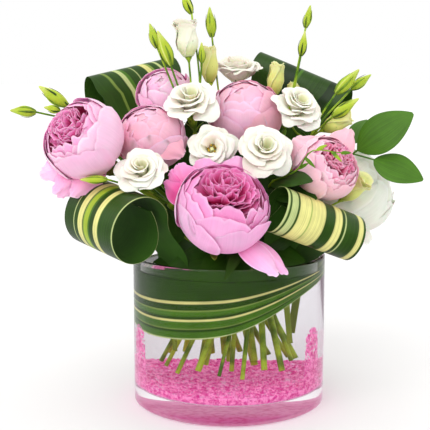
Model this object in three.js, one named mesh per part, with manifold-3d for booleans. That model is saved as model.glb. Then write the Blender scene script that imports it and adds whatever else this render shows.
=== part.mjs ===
// Peonies and lisianthus arranged in a low glass cylinder vase, with rolled aspidistra leaves,
// a leaf wrapped inside the glass, water, and a bed of crushed pink glass. Millimetres, +Z up.
// The origin is the centre of the vase's flat underside, and the front of the bouquet faces -Y.
import * as THREE from "three";
import { mergeVertices } from "three/addons/utils/BufferGeometryUtils.js";
import Module from "manifold-3d";

const wasm = await Module();
wasm.setup();

// Driving dimensions
const VASE = { outerRadius: 96, wall: 4, height: 150, base: 20, foot: 4, sides: 40 };
const INNER_RADIUS = VASE.outerRadius - VASE.wall;
const CLEARANCE = 0.3;
const CHIPS = { depth: 8, relief: 1.6, rings: 4 };
const WATER_LEVEL = 137;
const CHIPS_TOP = VASE.base + CHIPS.depth;
const WATER_FLOOR = CHIPS_TOP + CHIPS.relief + CLEARANCE;

// The bunch of stems: straight through its waist, and spreading below it in a spiral
const WAIST = { height: 150, innerRadius: 9.5, outerRadius: 21.5, twist: 0.0195 };
const INNER_SLOTS = 6;
const OUTER_SLOTS = 16;
const SPIRAL_LEAD = -28;

const PETAL_THICKNESS = 0.8;
const LEAF_THICKNESS = 0.9;

const COLOURS = {
  pink: 0xf0a3d0,
  white: 0xf6f2e6,
  cream: 0xe6e6a0,
  leaf: 0x35571a,
  stem: 0x6f9432,
  bud: 0xa9c24c,
};

const finish = {
  petal: (color) => new THREE.MeshStandardMaterial({ color, roughness: 0.6, metalness: 0 }),
  leaf: () => new THREE.MeshStandardMaterial({ color: COLOURS.leaf, roughness: 0.4, metalness: 0 }),
  stem: () => new THREE.MeshStandardMaterial({ color: COLOURS.stem, roughness: 0.5, metalness: 0 }),
  glass: () =>
    new THREE.MeshStandardMaterial({ color: 0xf4fafa, roughness: 0.02, transparent: true, opacity: 0.3 }),
  water: () =>
    new THREE.MeshStandardMaterial({ color: 0xeef6f8, roughness: 0.02, transparent: true, opacity: 0.3 }),
  chips: () => new THREE.MeshStandardMaterial({ color: 0xd765a5, roughness: 0.25, metalness: 0 }),
};

const radians = THREE.MathUtils.degToRad;
const vec = (x, y, z) => new THREE.Vector3(x, y, z);
const UP = vec(0, 0, 1);
const bouquet = new THREE.Group();

// Solids

// A closed geometry as a solid, with its faces turned outwards
function solid(geometry) {
  const bare = (geometry.index ? geometry.toNonIndexed() : geometry.clone());
  for (const name of Object.keys(bare.attributes)) {
    if (name !== "position") bare.deleteAttribute(name);
  }
  const merged = mergeVertices(bare, 1e-3);
  const corners = merged.index.array;
  const kept = [];
  for (let i = 0; i < corners.length; i += 3) {
    const [a, b, c] = [corners[i], corners[i + 1], corners[i + 2]];
    if (a !== b && b !== c && c !== a) kept.push(a, b, c);
  }
  const build = (triVerts) =>
    new wasm.Manifold(
      new wasm.Mesh({ numProp: 3, vertProperties: merged.attributes.position.array, triVerts }),
    );
  const made = build(new Uint32Array(kept));
  return made.volume() < 0 ? build(new Uint32Array(kept.reverse())) : made;
}

const fuse = (solids) => solids.reduce((whole, next) => whole.add(next));

// The largest body of a solid, without the scraps and sealed hollows that fusing leaves
function mainBody(made) {
  return made.decompose().reduce((best, body) => (body.volume() > best.volume() ? body : best));
}

function geometryOf(made) {
  const mesh = made.getMesh();
  const corners = new Float32Array(mesh.numVert * 3);
  for (let i = 0; i < mesh.numVert; i++) {
    corners.set(mesh.vertProperties.subarray(i * mesh.numProp, i * mesh.numProp + 3), i * 3);
  }
  const geometry = new THREE.BufferGeometry();
  geometry.setAttribute("position", new THREE.BufferAttribute(corners, 3));
  geometry.setIndex(new THREE.BufferAttribute(mesh.triVerts, 1));
  return geometry;
}

function piece(name, made, material) {
  const mesh = new THREE.Mesh(geometryOf(mainBody(made)), material);
  mesh.name = name;
  bouquet.add(mesh);
}

// A thin closed blade about the surface point(u, v), with u from -1 to 1 across and v from 0 to 1 along.
// An end where the surface narrows to a point comes out pointed.
function blade(point, across, along, thickness) {
  const step = 1e-3;
  const front = [];
  const back = [];
  for (let j = 0; j <= along; j++) {
    for (let i = 0; i <= across; i++) {
      const u = -1 + (2 * i) / across;
      const v = j / along;
      const middle = point(u, v);
      const pointed = point(-1, v).distanceTo(point(1, v)) < 0.01;
      const [s, t] = pointed ? [0, THREE.MathUtils.clamp(v, 0.05, 0.95)] : [u, v];
      const du = point(Math.min(s + step, 1), t).sub(point(Math.max(s - step, -1), t));
      const dv = point(s, Math.min(t + step, 1)).sub(point(s, Math.max(t - step, 0)));
      const normal = du.cross(dv).normalize().multiplyScalar(thickness / 2);
      front.push(middle.clone().add(normal));
      back.push(middle.clone().sub(normal));
    }
  }
  const row = across + 1;
  const count = front.length;
  const faces = [];
  for (let j = 0; j < along; j++) {
    for (let i = 0; i < across; i++) {
      const a = j * row + i;
      const [b, c, d] = [a + 1, a + row + 1, a + row];
      const split = (i + j) % 2 ? [[a, b, c], [a, c, d]] : [[a, b, d], [b, c, d]];
      for (const [p, q, r] of split) {
        faces.push(p, q, r);
        faces.push(count + p, count + r, count + q);
      }
    }
  }
  const rim = [];
  for (let i = 0; i < across; i++) rim.push(i);
  for (let j = 0; j < along; j++) rim.push(across + j * row);
  for (let i = across; i > 0; i--) rim.push(along * row + i);
  for (let j = along; j > 0; j--) rim.push(j * row);
  rim.forEach((p, i) => {
    const q = rim[(i + 1) % rim.length];
    faces.push(p, count + p, q);
    faces.push(q, count + p, count + q);
  });
  const geometry = new THREE.BufferGeometry();
  geometry.setFromPoints([...front, ...back]);
  geometry.setIndex(faces);
  return solid(geometry);
}

// A round stalk: straight from `foot`, if it has one, then through `points` in even steps, all of
// one radius, and last through a list of swellings [point, radius]
function stalk({ foot, points, radius, steps, swellings = [], sides = 5 }) {
  const line = new THREE.CatmullRomCurve3(points, false, "centripetal");
  const stations = line.getSpacedPoints(steps).map((point) => [point, radius]);
  if (foot) stations.unshift([foot, radius]);
  stations.push(...swellings);
  const path = new THREE.CatmullRomCurve3(stations.map(([point]) => point), false, "centripetal");
  path.getSpacedPoints = (count) => path.getPoints(count);
  path.getTangentAt = (t) => path.getTangent(t);
  const corner = (i) => [Math.cos((2 * Math.PI * i) / sides), Math.sin((2 * Math.PI * i) / sides)];
  const section = new THREE.Shape();
  section.moveTo(...corner(0));
  for (let i = 1; i < sides; i++) section.lineTo(...corner(i));
  section.closePath();
  const geometry = new THREE.ExtrudeGeometry(section, {
    steps: stations.length - 1,
    bevelEnabled: false,
    extrudePath: path,
  });
  const position = geometry.attributes.position;
  const place = new THREE.Vector3();
  for (let i = 0; i < position.count; i++) {
    place.fromBufferAttribute(position, i);
    const near = stations.reduce((a, b) => (b[0].distanceTo(place) < a[0].distanceTo(place) ? b : a));
    place.sub(near[0]).multiplyScalar(near[1]).add(near[0]);
    position.setXYZ(i, place.x, place.y, place.z);
  }
  return solid(geometry);
}

// A turned shape standing on `base` along `axis`, from a list of [radius, height]
function turned(profile, sides, base = vec(0, 0, 0), axis = UP, shape = null) {
  const geometry = new THREE.LatheGeometry(profile.map(([r, h]) => new THREE.Vector2(r, h)), sides);
  geometry.rotateX(Math.PI / 2);
  if (shape) shape(geometry.attributes.position);
  geometry.applyMatrix4(frameOf(base, axis));
  return solid(geometry);
}

// The matrix that stands local +Z along `axis` at `base`, turned about it by `spin` degrees
function frameOf(base, axis, spin = 0) {
  const turn = new THREE.Quaternion().setFromUnitVectors(UP, axis.clone().normalize());
  turn.multiply(new THREE.Quaternion().setFromAxisAngle(UP, radians(spin)));
  return new THREE.Matrix4().compose(base, turn, vec(1, 1, 1));
}

// A solid moved by a matrix
const placed = (made, matrix) => solid(geometryOf(made).applyMatrix4(matrix));

// A repeatable number from 0 to 1 for each seed
const chance = (seed) => {
  const value = Math.sin(seed * 127.1 + 11.7) * 43758.5453;
  return value - Math.floor(value);
};

// The vase, its bed of crushed glass and the leaf wrapped inside it

function vaseSolid() {
  const { outerRadius: out, height, base, foot, sides } = VASE;
  return turned(
    [
      [0, 0],
      [out - foot, 0],
      [out, foot],
      [out, height],
      [INNER_RADIUS, height],
      [INNER_RADIUS, base],
      [0, base],
    ],
    sides,
  );
}

function chipsSolid() {
  const radius = INNER_RADIUS - CLEARANCE - 0.4;
  const profile = [[0, VASE.base + CLEARANCE], [radius, VASE.base + CLEARANCE]];
  for (let ring = CHIPS.rings; ring >= 0; ring--) {
    profile.push([(radius * ring) / CHIPS.rings, CHIPS_TOP]);
  }
  const roughen = (position) => {
    for (let i = 0; i < position.count; i++) {
      const [x, y, z] = [position.getX(i), position.getY(i), position.getZ(i)];
      if (z < CHIPS_TOP - 1) continue;
      const lift = chance(Math.round(x * 3) + Math.round(y * 3) * 57);
      position.setZ(i, z + CHIPS.relief * (2 * lift - 1));
    }
  };
  return turned(profile, 30, vec(0, 0, 0), UP, roughen);
}

// The wrapped leaf: its middle height and half width against the angle round the glass
const WRAP = {
  radius: INNER_RADIUS - 1.2,
  angles: [108, 80, 46, 0, -45, -80, -120, -155, -175],
  heights: [143, 138, 132, 116.5, 110, 109, 110, 116, 122],
  halfWidths: [1.2, 6.5, 13.5, 28, 30.5, 27.5, 22, 10, 2.5],
};

function along(list, v) {
  const place = v * (list.length - 1);
  const i = Math.min(Math.floor(place), list.length - 2);
  const share = place - i;
  const smooth = (k) => list[Math.max(0, Math.min(list.length - 1, k))];
  const [a, b, c, d] = [smooth(i - 1), smooth(i), smooth(i + 1), smooth(i + 2)];
  const t2 = share * share;
  const t3 = t2 * share;
  return 0.5 * (2 * b + (c - a) * share + (2 * a - 5 * b + 4 * c - d) * t2 + (3 * b - a - 3 * c + d) * t3);
}

function wrapSolid(radius, extra, thickness) {
  const point = (u, v) => {
    const angle = radians(along(WRAP.angles, v));
    const height = along(WRAP.heights, v) + u * (along(WRAP.halfWidths, v) + extra);
    return vec(radius * Math.sin(angle), -radius * Math.cos(angle), height);
  };
  return blade(point, 1, 24, thickness);
}

// The stems' waist

// Where slot `slot` of a ring crosses a height, and which way it runs there
function slotPoint(ring, slot, height) {
  const slots = { centre: 1, inner: INNER_SLOTS, outer: OUTER_SLOTS }[ring];
  const radius = { centre: 0, inner: WAIST.innerRadius, outer: WAIST.outerRadius }[ring];
  const angle = radians((360 * slot) / slots + SPIRAL_LEAD - 142);
  const along = (height - WAIST.height) * WAIST.twist * radius;
  return vec(
    radius * Math.sin(angle) + along * Math.cos(angle),
    -radius * Math.cos(angle) + along * Math.sin(angle),
    height,
  );
}

// A stem from its cut end, through its slot, up to `top`, which it meets along `axis`
function stemPath(ring, slot, cutHeight, top, axis) {
  const waist = [WATER_LEVEL + 4, WAIST.height + 12].map((h) => slotPoint(ring, slot, h));
  const lead = top.distanceTo(waist[1]) * 0.22;
  const last = top.clone().addScaledVector(axis, -lead);
  return { foot: slotPoint(ring, slot, cutHeight), points: [...waist, last, top] };
}

// What stands in the water, a little larger than it is, so that the water clears it
const sunk = [];

function sinkStem(ring, slot, cutHeight, radius) {
  const points = [cutHeight - 1, WATER_LEVEL + 6].map((height) => slotPoint(ring, slot, height));
  sunk.push(stalk({ points, radius: radius * 1.3 + CLEARANCE, steps: 1 }));
}

// Peonies

// A cupped petal on a ball: `reach` is how far up the ball its tip comes, in degrees from the base
function ballPetal({ centre, radius, turn, reach, halfWidth, flare, shift }) {
  return (u, v) => {
    const tip = v * (1 - 0.12 * u * u * v);
    const climb = radians(PETAL_ROOT + tip * (reach - PETAL_ROOT));
    const swell = 1 - 0.2 * (1 - v) ** 3;
    const ball = radius * swell + flare * v ** 3 + shift * u * Math.min(1, 3 * v);
    const spread = halfWidth * Math.sin(Math.min(1, v * 1.3) * (Math.PI / 2));
    const angle = radians(turn + (u * spread) / Math.max(Math.sin(climb), 0.8));
    return vec(
      ball * Math.sin(climb) * Math.cos(angle),
      ball * Math.sin(climb) * Math.sin(angle),
      centre - ball * Math.cos(climb),
    );
  };
}

// A crest of the ruffled middle, standing on the core
function crest(centre, radius, ring, turn, width, low, high) {
  return (u, v) => {
    const lean = radians(180 - ring - 6 * v);
    const ball = radius * (low + (high - low) * v) - 2.2 * u * u * v;
    const angle = radians(turn + u * width + 10 * v);
    return vec(
      ball * Math.sin(lean) * Math.cos(angle),
      ball * Math.sin(lean) * Math.sin(angle),
      centre + ball * Math.cos(Math.PI - lean),
    );
  };
}

const PETAL_ROOT = 16;
const BALL_CENTRE = 0.92;

function peonyBloom(radius, open) {
  const centre = radius * BALL_CENTRE;
  const heart = open ? 0.5 : 0.44;
  const heartHeight = open ? 1.3 : 1.25;
  const petals = [];
  const layer = (count, ring, reach, halfWidth, first, flare, shift, steps) => {
    for (let i = 0; i < count; i++) {
      const turn = first + (360 * i) / count;
      const tip = reach + 7 * (chance(turn + count) - 0.5);
      const shape = { centre, radius: ring, turn, reach: tip, halfWidth, flare, shift };
      petals.push(blade(ballPetal(shape), 3, steps, PETAL_THICKNESS));
    }
  };
  if (open) {
    layer(5, radius - 3, open, 44, 0, 1.5, 2.7, 3);
    layer(3, radius - 10, open + 11, 56, 30, 0, 1.8, 2);
    for (let i = 0; i < 3; i++) {
      const wide = crest(centre, radius, 30, 120 * i, 46, 0.25, 0.88);
      petals.push(blade(wide, 2, 1, PETAL_THICKNESS));
    }
  } else {
    layer(5, radius - 3, 143, 44, 0, 0.3, 2.7, 3);
    layer(3, radius - 10, 158, 52, 20, 0, 2, 2);
  }
  const core = [[0, 0], [0.22, 0], [heart, 0.45], [heart, 1], [0, heartHeight]];
  const turnedCore = turned(core.map(([r, h]) => [r * radius, h * radius + CLEARANCE]), 6);
  return fuse([turnedCore, ...petals]);
}

// The sepals up the sides of a bloom, which stand on the cup at the stem's top
function peonySepals(radius) {
  const centre = radius * BALL_CENTRE;
  const sepals = [0, 120, 240].map((turn) =>
    blade(
      (u, v) => {
        const climb = radians(5 + v * 38);
        const ball = radius + 1.9;
        const angle = radians(turn + u * (1 - v * v) * (17 / Math.max(0.3, Math.sin(climb)) ** 0.8));
        return vec(
          ball * Math.sin(climb) * Math.cos(angle),
          ball * Math.sin(climb) * Math.sin(angle),
          centre - ball * Math.cos(climb),
        );
      },
      1,
      2,
      1,
    ),
  );
  return fuse(sepals);
}

// Every peony: its ball's middle, the way it faces, its radius, how far up its outer petals
// reach in degrees if it is open, its place in the bunch,
// and its outer petals that have dropped as [from, to, half width]
const PEONIES = [
  {
    name: "peony_left", at: [-136, -60, 266], face: [-0.45, -0.7, 0.55], radius: 40, open: 122,
    ring: "outer", slot: 3, dropped: [[[-127, -46, 239], [-162, -84, 211], 18]],
  },
  {
    name: "peony_left_inner", at: [-75, -24, 265], face: [-0.1, -0.65, 0.75], radius: 35,
    ring: "inner", slot: 1,
  },
  {
    name: "peony_back_left", at: [-64, 24, 306], face: [-0.2, -0.65, 0.72], radius: 29,
    ring: "inner", slot: 0,
  },
  {
    name: "peony_centre", at: [16, 10, 286], face: [-0.1, -0.6, 0.79], radius: 38,
    ring: "inner", slot: 5,
  },
  {
    name: "peony_front", at: [-7, -88, 206], face: [0.16, -0.7, 0.68], radius: 46, open: 110,
    ring: "outer", slot: 5,
    dropped: [[[4, -77, 171], [36, -114, 150], 13], [[9, -77, 173], [50, -104, 147], 12]],
  },
  {
    name: "peony_right", at: [91, -42, 238], face: [0.42, -0.77, 0.47], radius: 33, open: 122,
    ring: "outer", slot: 9,
  },
  {
    name: "peony_white", at: [125, 42, 206], face: [0.75, 0.1, 0.65], radius: 47, white: true,
    ring: "outer", slot: 12,
  },
  {
    name: "peony_rear_left", at: [-28, 102, 224], face: [-0.15, 0.85, 0.5], radius: 34,
    ring: "outer", slot: 15,
  },
  {
    name: "peony_rear_right", at: [43, 106, 226], face: [0.5, 0.78, 0.4], radius: 35, open: 122,
    ring: "outer", slot: 13,
  },
];

const PEONY_STEM_RADIUS = 2.7;

// An outer petal that has dropped and hangs with its tip down
function droppedPetal([from, to, half]) {
  return blade(
    (u, v) => {
      const spread = u * half * Math.abs(Math.sin(Math.PI * v)) ** 0.7;
      const middle = vec(...from).lerp(vec(...to), v);
      return middle.add(vec(spread, -4 * Math.sin(Math.PI * v) + 0.3 * Math.abs(spread), 0.45 * spread));
    },
    2,
    4,
    PETAL_THICKNESS,
  );
}

function addPeony({ name, at, face, radius, open = 0, ring, slot, white, dropped = [] }) {
  const axis = vec(...face).normalize();
  const base = vec(...at).addScaledVector(axis, -radius * BALL_CENTRE);
  const frame = frameOf(base, axis, 17 * slot);
  const bloom = placed(mainBody(peonyBloom(radius, open)), frame);
  const colour = white ? COLOURS.white : COLOURS.pink;
  piece(name, fuse([bloom, ...dropped.map(droppedPetal)]), finish.petal(colour));
  const top = base.clone().addScaledVector(axis, -7);
  const cut = 36 + 10 * chance(slot + 3);
  const cup = [[-1.6, 9.5], [0, 9.5]].map(([h, r]) => [base.clone().addScaledVector(axis, h), r]);
  const path = stemPath(ring, slot, cut, top, axis);
  const stem = stalk({ ...path, radius: PEONY_STEM_RADIUS, steps: 5, swellings: cup });
  sinkStem(ring, slot, cut, PEONY_STEM_RADIUS);
  piece(`${name}_stem`, stem.add(placed(peonySepals(radius), frame)), finish.stem());
}

// Lisianthus

// A flaring petal of a lisianthus, from the base of its cup out to its rim
function cupPetal({ turn, reach, height, curl, halfWidth, shift }) {
  return (u, v) => {
    const angle = radians(turn + u * halfWidth * Math.min(1, 3 * v) * (0.55 + 0.45 * Math.sin(v * 2.2)));
    const lift = shift * u * Math.min(1, 2 * v);
    const out = 2.5 + (reach - 2.5) * v ** 1.15 - lift;
    const up = 1.5 + height * Math.sin(v * 1.7) - curl * v ** 4 - 1.5 * u * u * v + lift;
    return vec(out * Math.cos(angle), out * Math.sin(angle), up);
  };
}

function lisianthusBloom(radius) {
  const petals = [];
  const layer = (count, reach, height, curl, halfWidth, first, shift, steps) => {
    for (let i = 0; i < count; i++) {
      const shape = { turn: first + (360 * i) / count, reach, height, curl, halfWidth, shift };
      petals.push(blade(cupPetal(shape), 2, steps, PETAL_THICKNESS));
    }
  };
  layer(5, radius, radius * 0.66, 4, 44, 0, 1.8, 2);
  layer(3, radius * 0.58, radius * 0.9, 0, 58, 25, 1.2, 2);
  const heart = turned([[0, CLEARANCE], [5, CLEARANCE], [6.5, 7], [0, radius * 0.6]], 5);
  return fuse([heart, ...petals]);
}

// A half-open bloom: petals wound into a pointed bud
function woundBud(base, axis, length, radius) {
  const wind = (position) => {
    for (let i = 0; i < position.count; i++) {
      const [x, y, z] = [position.getX(i), position.getY(i), position.getZ(i)];
      const angle = Math.atan2(y, x);
      const lobe = 1 + 0.16 * Math.cos(3 * angle - (5 * z) / length) * Math.min(1, (2 * z) / length);
      position.setXY(i, x * lobe, y * lobe);
    }
  };
  const profile = [[0, 0], [0.5, 0.05], [0.92, 0.42], [0.62, 0.88], [0.7, 1], [0, 0.93]];
  return turned(profile.map(([r, h]) => [r * radius, h * length]), 9, base, axis, wind);
}

// Every open lisianthus: the middle of its rim's height, the way it faces, and its radius
const LISIANTHUS = {
  lisianthus_upper_left: { at: [-37, -29, 302], face: [0, -0.62, 0.78], radius: 26 },
  lisianthus_lower_left: { at: [-82, -82, 240], face: [-0.1, -0.75, 0.65], radius: 24 },
  lisianthus_middle_left: { at: [-17, -50, 258], face: [-0.05, -0.92, 0.38], radius: 23 },
  lisianthus_middle_right: { at: [34, -64, 256], face: [0.1, -0.83, 0.55], radius: 27 },
  lisianthus_right: { at: [67, -14, 296], face: [0.35, -0.62, 0.7], radius: 26 },
  lisianthus_top: { at: [9, 60, 332], face: [0, -0.25, 0.97], radius: 24 },
  lisianthus_rear: { at: [0, 108, 270], face: [0, 0.7, 0.7], radius: 25 },
  lisianthus_side: { at: [-134, 34, 236], face: [-0.8, 0.25, 0.5], radius: 26 },
};
const CUP_DEPTH = 0.62;

const lisianthusBase = (name) => {
  const { at, face, radius } = LISIANTHUS[name];
  return vec(...at).addScaledVector(vec(...face).normalize(), -radius * CUP_DEPTH);
};

// Every half-open bloom: its base, the way it points, its length and radius
const WOUND = {
  half_open_tall: { base: [-40, 2, 344], point: [-0.1, 0, 1], length: 36, radius: 11, white: true },
  half_open_green: { base: [-19, 30, 319], point: [-0.05, -0.05, 1], length: 38, radius: 9 },
  half_open_back: { base: [46, 40, 306], point: [0.12, 0, 1], length: 34, radius: 8.5 },
  half_open_low: { base: [62, 44, 298], point: [0.25, 0.1, 0.95], length: 22, radius: 6 },
  half_open_right: { base: [94, 2, 273], point: [0.85, -0.15, 0.45], length: 31, radius: 9 },
  half_open_side: { base: [112, -8, 205], point: [0.62, -0.35, 0.62], length: 34, radius: 8.5 },
};

// Every spray: the fork of its stem, the blooms it carries, and its closed buds
// as [base x, y, z, pointing x, y, z, length, radius]
const SPRAYS = [
  {
    name: "spray_upper_left", ring: "inner", slot: 2, fork: [-34, -3, 270],
    blooms: ["lisianthus_upper_left"], wound: ["half_open_tall"],
    buds: [
      [-70, -4, 352, -0.3, 0, 0.95, 25, 4.6], [-57, -8, 335, -0.35, 0, 0.94, 36, 6.6],
      [-37, 14, 386, -0.4, 0, 0.92, 23, 4.8], [-27, 3, 338, 0, 0, 1, 20, 3.6],
    ],
  },
  {
    name: "spray_middle", ring: "inner", slot: 3, fork: [2, -18, 205],
    blooms: ["lisianthus_middle_left", "lisianthus_middle_right"], wound: [], buds: [],
  },
  {
    name: "spray_right", ring: "outer", slot: 11, fork: [80, 10, 262],
    blooms: ["lisianthus_right"], wound: ["half_open_right"],
    buds: [
      [105, 4, 308, 0.7, 0, 0.72, 33, 6.4], [122, 16, 312, 0.8, 0.1, 0.58, 25, 5],
      [101, -8, 286, 0.82, -0.05, 0.57, 31, 5.8],
    ],
  },
  {
    name: "spray_top", ring: "centre", slot: 0, fork: [-6, 50, 282],
    blooms: ["lisianthus_top"], wound: ["half_open_green"],
    buds: [[-17, 34, 364, -0.08, 0, 1, 30, 5.4]],
  },
  {
    name: "spray_top_right", ring: "inner", slot: 4, fork: [58, 40, 270],
    blooms: [], wound: ["half_open_back", "half_open_low"],
    buds: [[77, 30, 373, 0.2, 0, 0.98, 23, 4.2], [72, 24, 345, 0.16, 0, 0.98, 25, 4.2]],
  },
  {
    name: "spray_lower_left", ring: "outer", slot: 4, fork: [-58, -44, 204],
    blooms: ["lisianthus_lower_left"], wound: [],
    buds: [[-112, -84, 232, -1, -0.05, 0, 25, 4]],
  },
  {
    name: "spray_far_left", ring: "outer", slot: 2, fork: [-142, 2, 276],
    blooms: [], wound: [],
    buds: [
      [-186, -26, 291, -1, 0, 0.06, 25, 5.4], [-158, -8, 296, -0.82, 0, 0.57, 34, 6.6],
      [-164, -18, 292, -0.95, 0, 0.2, 16, 4],
    ],
  },
  {
    name: "spray_far_right", ring: "outer", slot: 8, fork: [84, -8, 192],
    blooms: [], wound: ["half_open_side"], buds: [],
  },
  {
    name: "spray_rear", ring: "outer", slot: 14, fork: [6, 62, 216],
    blooms: ["lisianthus_rear"], wound: [], buds: [[-14, 84, 286, -0.2, 0.3, 0.93, 24, 5]],
  },
  {
    name: "spray_side", ring: "outer", slot: 1, fork: [-92, 30, 216],
    blooms: ["lisianthus_side"], wound: [], buds: [[-150, 8, 214, -0.9, -0.1, 0.3, 26, 5]],
  },
];
const SPRAY_STEM_RADIUS = 2;
const BRANCH_RADIUS = 1.1;
const KNUCKLE_RADIUS = 3.6;

function addSpray({ name, ring, slot, fork, blooms, wound, buds }) {
  const split = vec(...fork);
  const from = slotPoint(ring, slot, WAIST.height + 12);
  const climb = split.clone().sub(from).normalize();
  const cut = 33 + 13 * chance(slot * 3 + fork[0]);
  sinkStem(ring, slot, cut, SPRAY_STEM_RADIUS);
  const knuckle = new THREE.OctahedronGeometry(KNUCKLE_RADIUS).translate(...fork);
  const path = stemPath(ring, slot, cut, split, climb);
  const parts = [stalk({ ...path, radius: SPRAY_STEM_RADIUS, steps: 4 }), solid(knuckle)];
  const branch = (base, axis, swellings) => {
    const lead = -0.14 * base.distanceTo(split);
    const middle = split.clone().lerp(base, 0.5).addScaledVector(axis, lead);
    const ends = swellings.map(([h, r]) => [base.clone().addScaledVector(axis, h), r]);
    const points = [split, middle, base];
    parts.push(stalk({ points, radius: BRANCH_RADIUS, steps: 2, swellings: ends }));
  };
  for (const bloom of blooms) {
    const axis = vec(...LISIANTHUS[bloom].face).normalize();
    branch(lisianthusBase(bloom).addScaledVector(axis, -6), axis, [[5, 4.6], [6, 4.6]]);
  }
  for (const bloom of wound) {
    const axis = vec(...WOUND[bloom].point).normalize();
    branch(vec(...WOUND[bloom].base).addScaledVector(axis, -6), axis, [[4.5, 3.4], [6 - CLEARANCE, 3.4]]);
  }
  for (const [x, y, z, px, py, pz, length, radius] of buds) {
    const shape = [[0.3, 1], [0.75, 0.5], [1, 0.25]].map(([h, r]) => [h * length, r * radius]);
    branch(vec(x, y, z), vec(px, py, pz).normalize(), shape);
  }
  piece(name, fuse(parts), finish.stem());
}

function addLisianthus(name) {
  const { face, radius } = LISIANTHUS[name];
  const frame = frameOf(lisianthusBase(name), vec(...face), radius * 7);
  piece(name, placed(mainBody(lisianthusBloom(radius)), frame), finish.petal(COLOURS.white));
}

function addWound(name) {
  const { base, point, length, radius, white } = WOUND[name];
  const made = woundBud(vec(...base), vec(...point), length, radius);
  piece(name, made, finish.petal(white ? COLOURS.white : COLOURS.cream));
}

// Rolled aspidistra leaves: each comes up from the vase, turns over outwards and curls into a tube.
// `middle` is the middle of the tube, `axis` runs along it, `length` is the leaf's full width there,
// `radius` is the tube's, sideways and upwards, `foot` is where the leaf crosses the vase's rim
// and `heel` its cut end.
const ROLLS = [
  {
    name: "leaf_roll_left", middle: [-107, -70, 190], axis: [0.67, -0.73, -0.15], length: 74,
    radius: [35, 35], foot: [-54, -49, 147], heel: [-46, -42, 62], footWidth: 44,
  },
  {
    name: "leaf_roll_right", middle: [79, -59, 186], axis: [0.86, 0.36, -0.37], length: 88,
    radius: [25, 25], foot: [44, -38, 150], heel: [50, -28, 66], footWidth: 40,
  },
  {
    name: "leaf_roll_back_left", middle: [-99, 86, 307], axis: [0.82, 0.53, 0.2], length: 104,
    radius: [17, 30], foot: [-62, 40, 150], heel: [-52, 34, 60], footWidth: 40,
  },
  {
    name: "leaf_roll_back_right", middle: [74, 84, 306], axis: [0.83, -0.42, -0.36], length: 110,
    radius: [17, 28], foot: [50, 52, 150], heel: [42, 44, 60], footWidth: 40,
  },
];
const ROLL_START = 10;
const ROLL_END = 395;
const ROLL_SHRINK = 0.26;

function rollSolid({ middle, axis, length, radius, foot, heel, footWidth }) {
  const centre = vec(...middle);
  const run = vec(...axis).normalize();
  const inward = vec(-middle[0], -middle[1], 0).projectOnPlane(run).normalize();
  const rise = run.clone().cross(inward);
  if (rise.z < 0) rise.negate();
  const circle = (turn) => {
    const shrink = 1 - (ROLL_SHRINK * (turn - ROLL_START)) / (ROLL_END - ROLL_START);
    return centre.clone()
      .addScaledVector(inward, radius[0] * shrink * Math.cos(radians(turn)))
      .addScaledVector(rise, radius[1] * shrink * Math.sin(radians(turn)));
  };
  const start = circle(ROLL_START);
  const arriving = circle(ROLL_START + 1).sub(circle(ROLL_START)).normalize();
  const bottom = vec(...foot);
  const lead = start.distanceTo(bottom) * 0.4;
  const rising = new THREE.CubicBezierCurve3(
    bottom,
    bottom.clone().addScaledVector(UP, lead),
    start.clone().addScaledVector(arriving, -lead),
    start,
  );
  const sinking = new THREE.LineCurve3(vec(...heel), bottom);
  const shares = [0.16, 0.36];
  const spine = (v) => {
    if (v < shares[0]) return sinking.getPoint(v / shares[0]);
    if (v < shares[1]) return rising.getPoint((v - shares[0]) / (shares[1] - shares[0]));
    return circle(ROLL_START + ((v - shares[1]) / (1 - shares[1])) * (ROLL_END - ROLL_START));
  };
  const flat = run.clone().setZ(0).normalize();
  const point = (u, v) => {
    const rolled = THREE.MathUtils.smoothstep(v, shares[0] + 0.05, shares[1] + 0.05);
    const side = flat.clone().lerp(run, rolled).normalize();
    const sunk = Math.min(1, v / shares[0]);
    const grown = footWidth + (length - footWidth) * rolled;
    const half = v < shares[0] ? 2.5 + (footWidth / 2 - 2.5) * sunk ** 1.5 : grown / 2;
    const tip = 1 - 0.3 * THREE.MathUtils.smoothstep(v, 0.85, 1);
    return spine(v).addScaledVector(side, u * half * tip);
  };
  const hole = (u, v) => point(u * (1 + 0.8 / (footWidth / 2)), Math.max(v * 0.16 - 0.002, 0));
  const dip = bottom.clone().sub(vec(...heel)).normalize().multiplyScalar(-1);
  sunk.push(blade((u, v) => hole(u, v).addScaledVector(dip, v ? 0 : 1), 1, 3, LEAF_THICKNESS + 1.6));
  return blade(point, 1, 22, LEAF_THICKNESS);
}

// Foliage

const LEAFY_STEM_RADIUS = 1.7;

// A pointed leaf from `from` to `tip`, `width` across, its face turned towards `facing`
function plainLeaf(from, tip, width, facing, sag = 4) {
  const to = vec(...tip);
  const run = to.clone().sub(from);
  const side = run.clone().cross(vec(...facing)).normalize();
  const out = side.clone().cross(run).normalize();
  return blade(
    (u, v) => {
      const half = (width / 2) * Math.abs(Math.sin(Math.PI * v ** 0.85)) ** 0.8;
      return from.clone()
        .addScaledVector(run, v)
        .addScaledVector(side, u * half)
        .addScaledVector(out, sag * Math.sin(Math.PI * v) - 0.12 * u * u * half);
    },
    2,
    4,
    LEAF_THICKNESS,
  );
}

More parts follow.
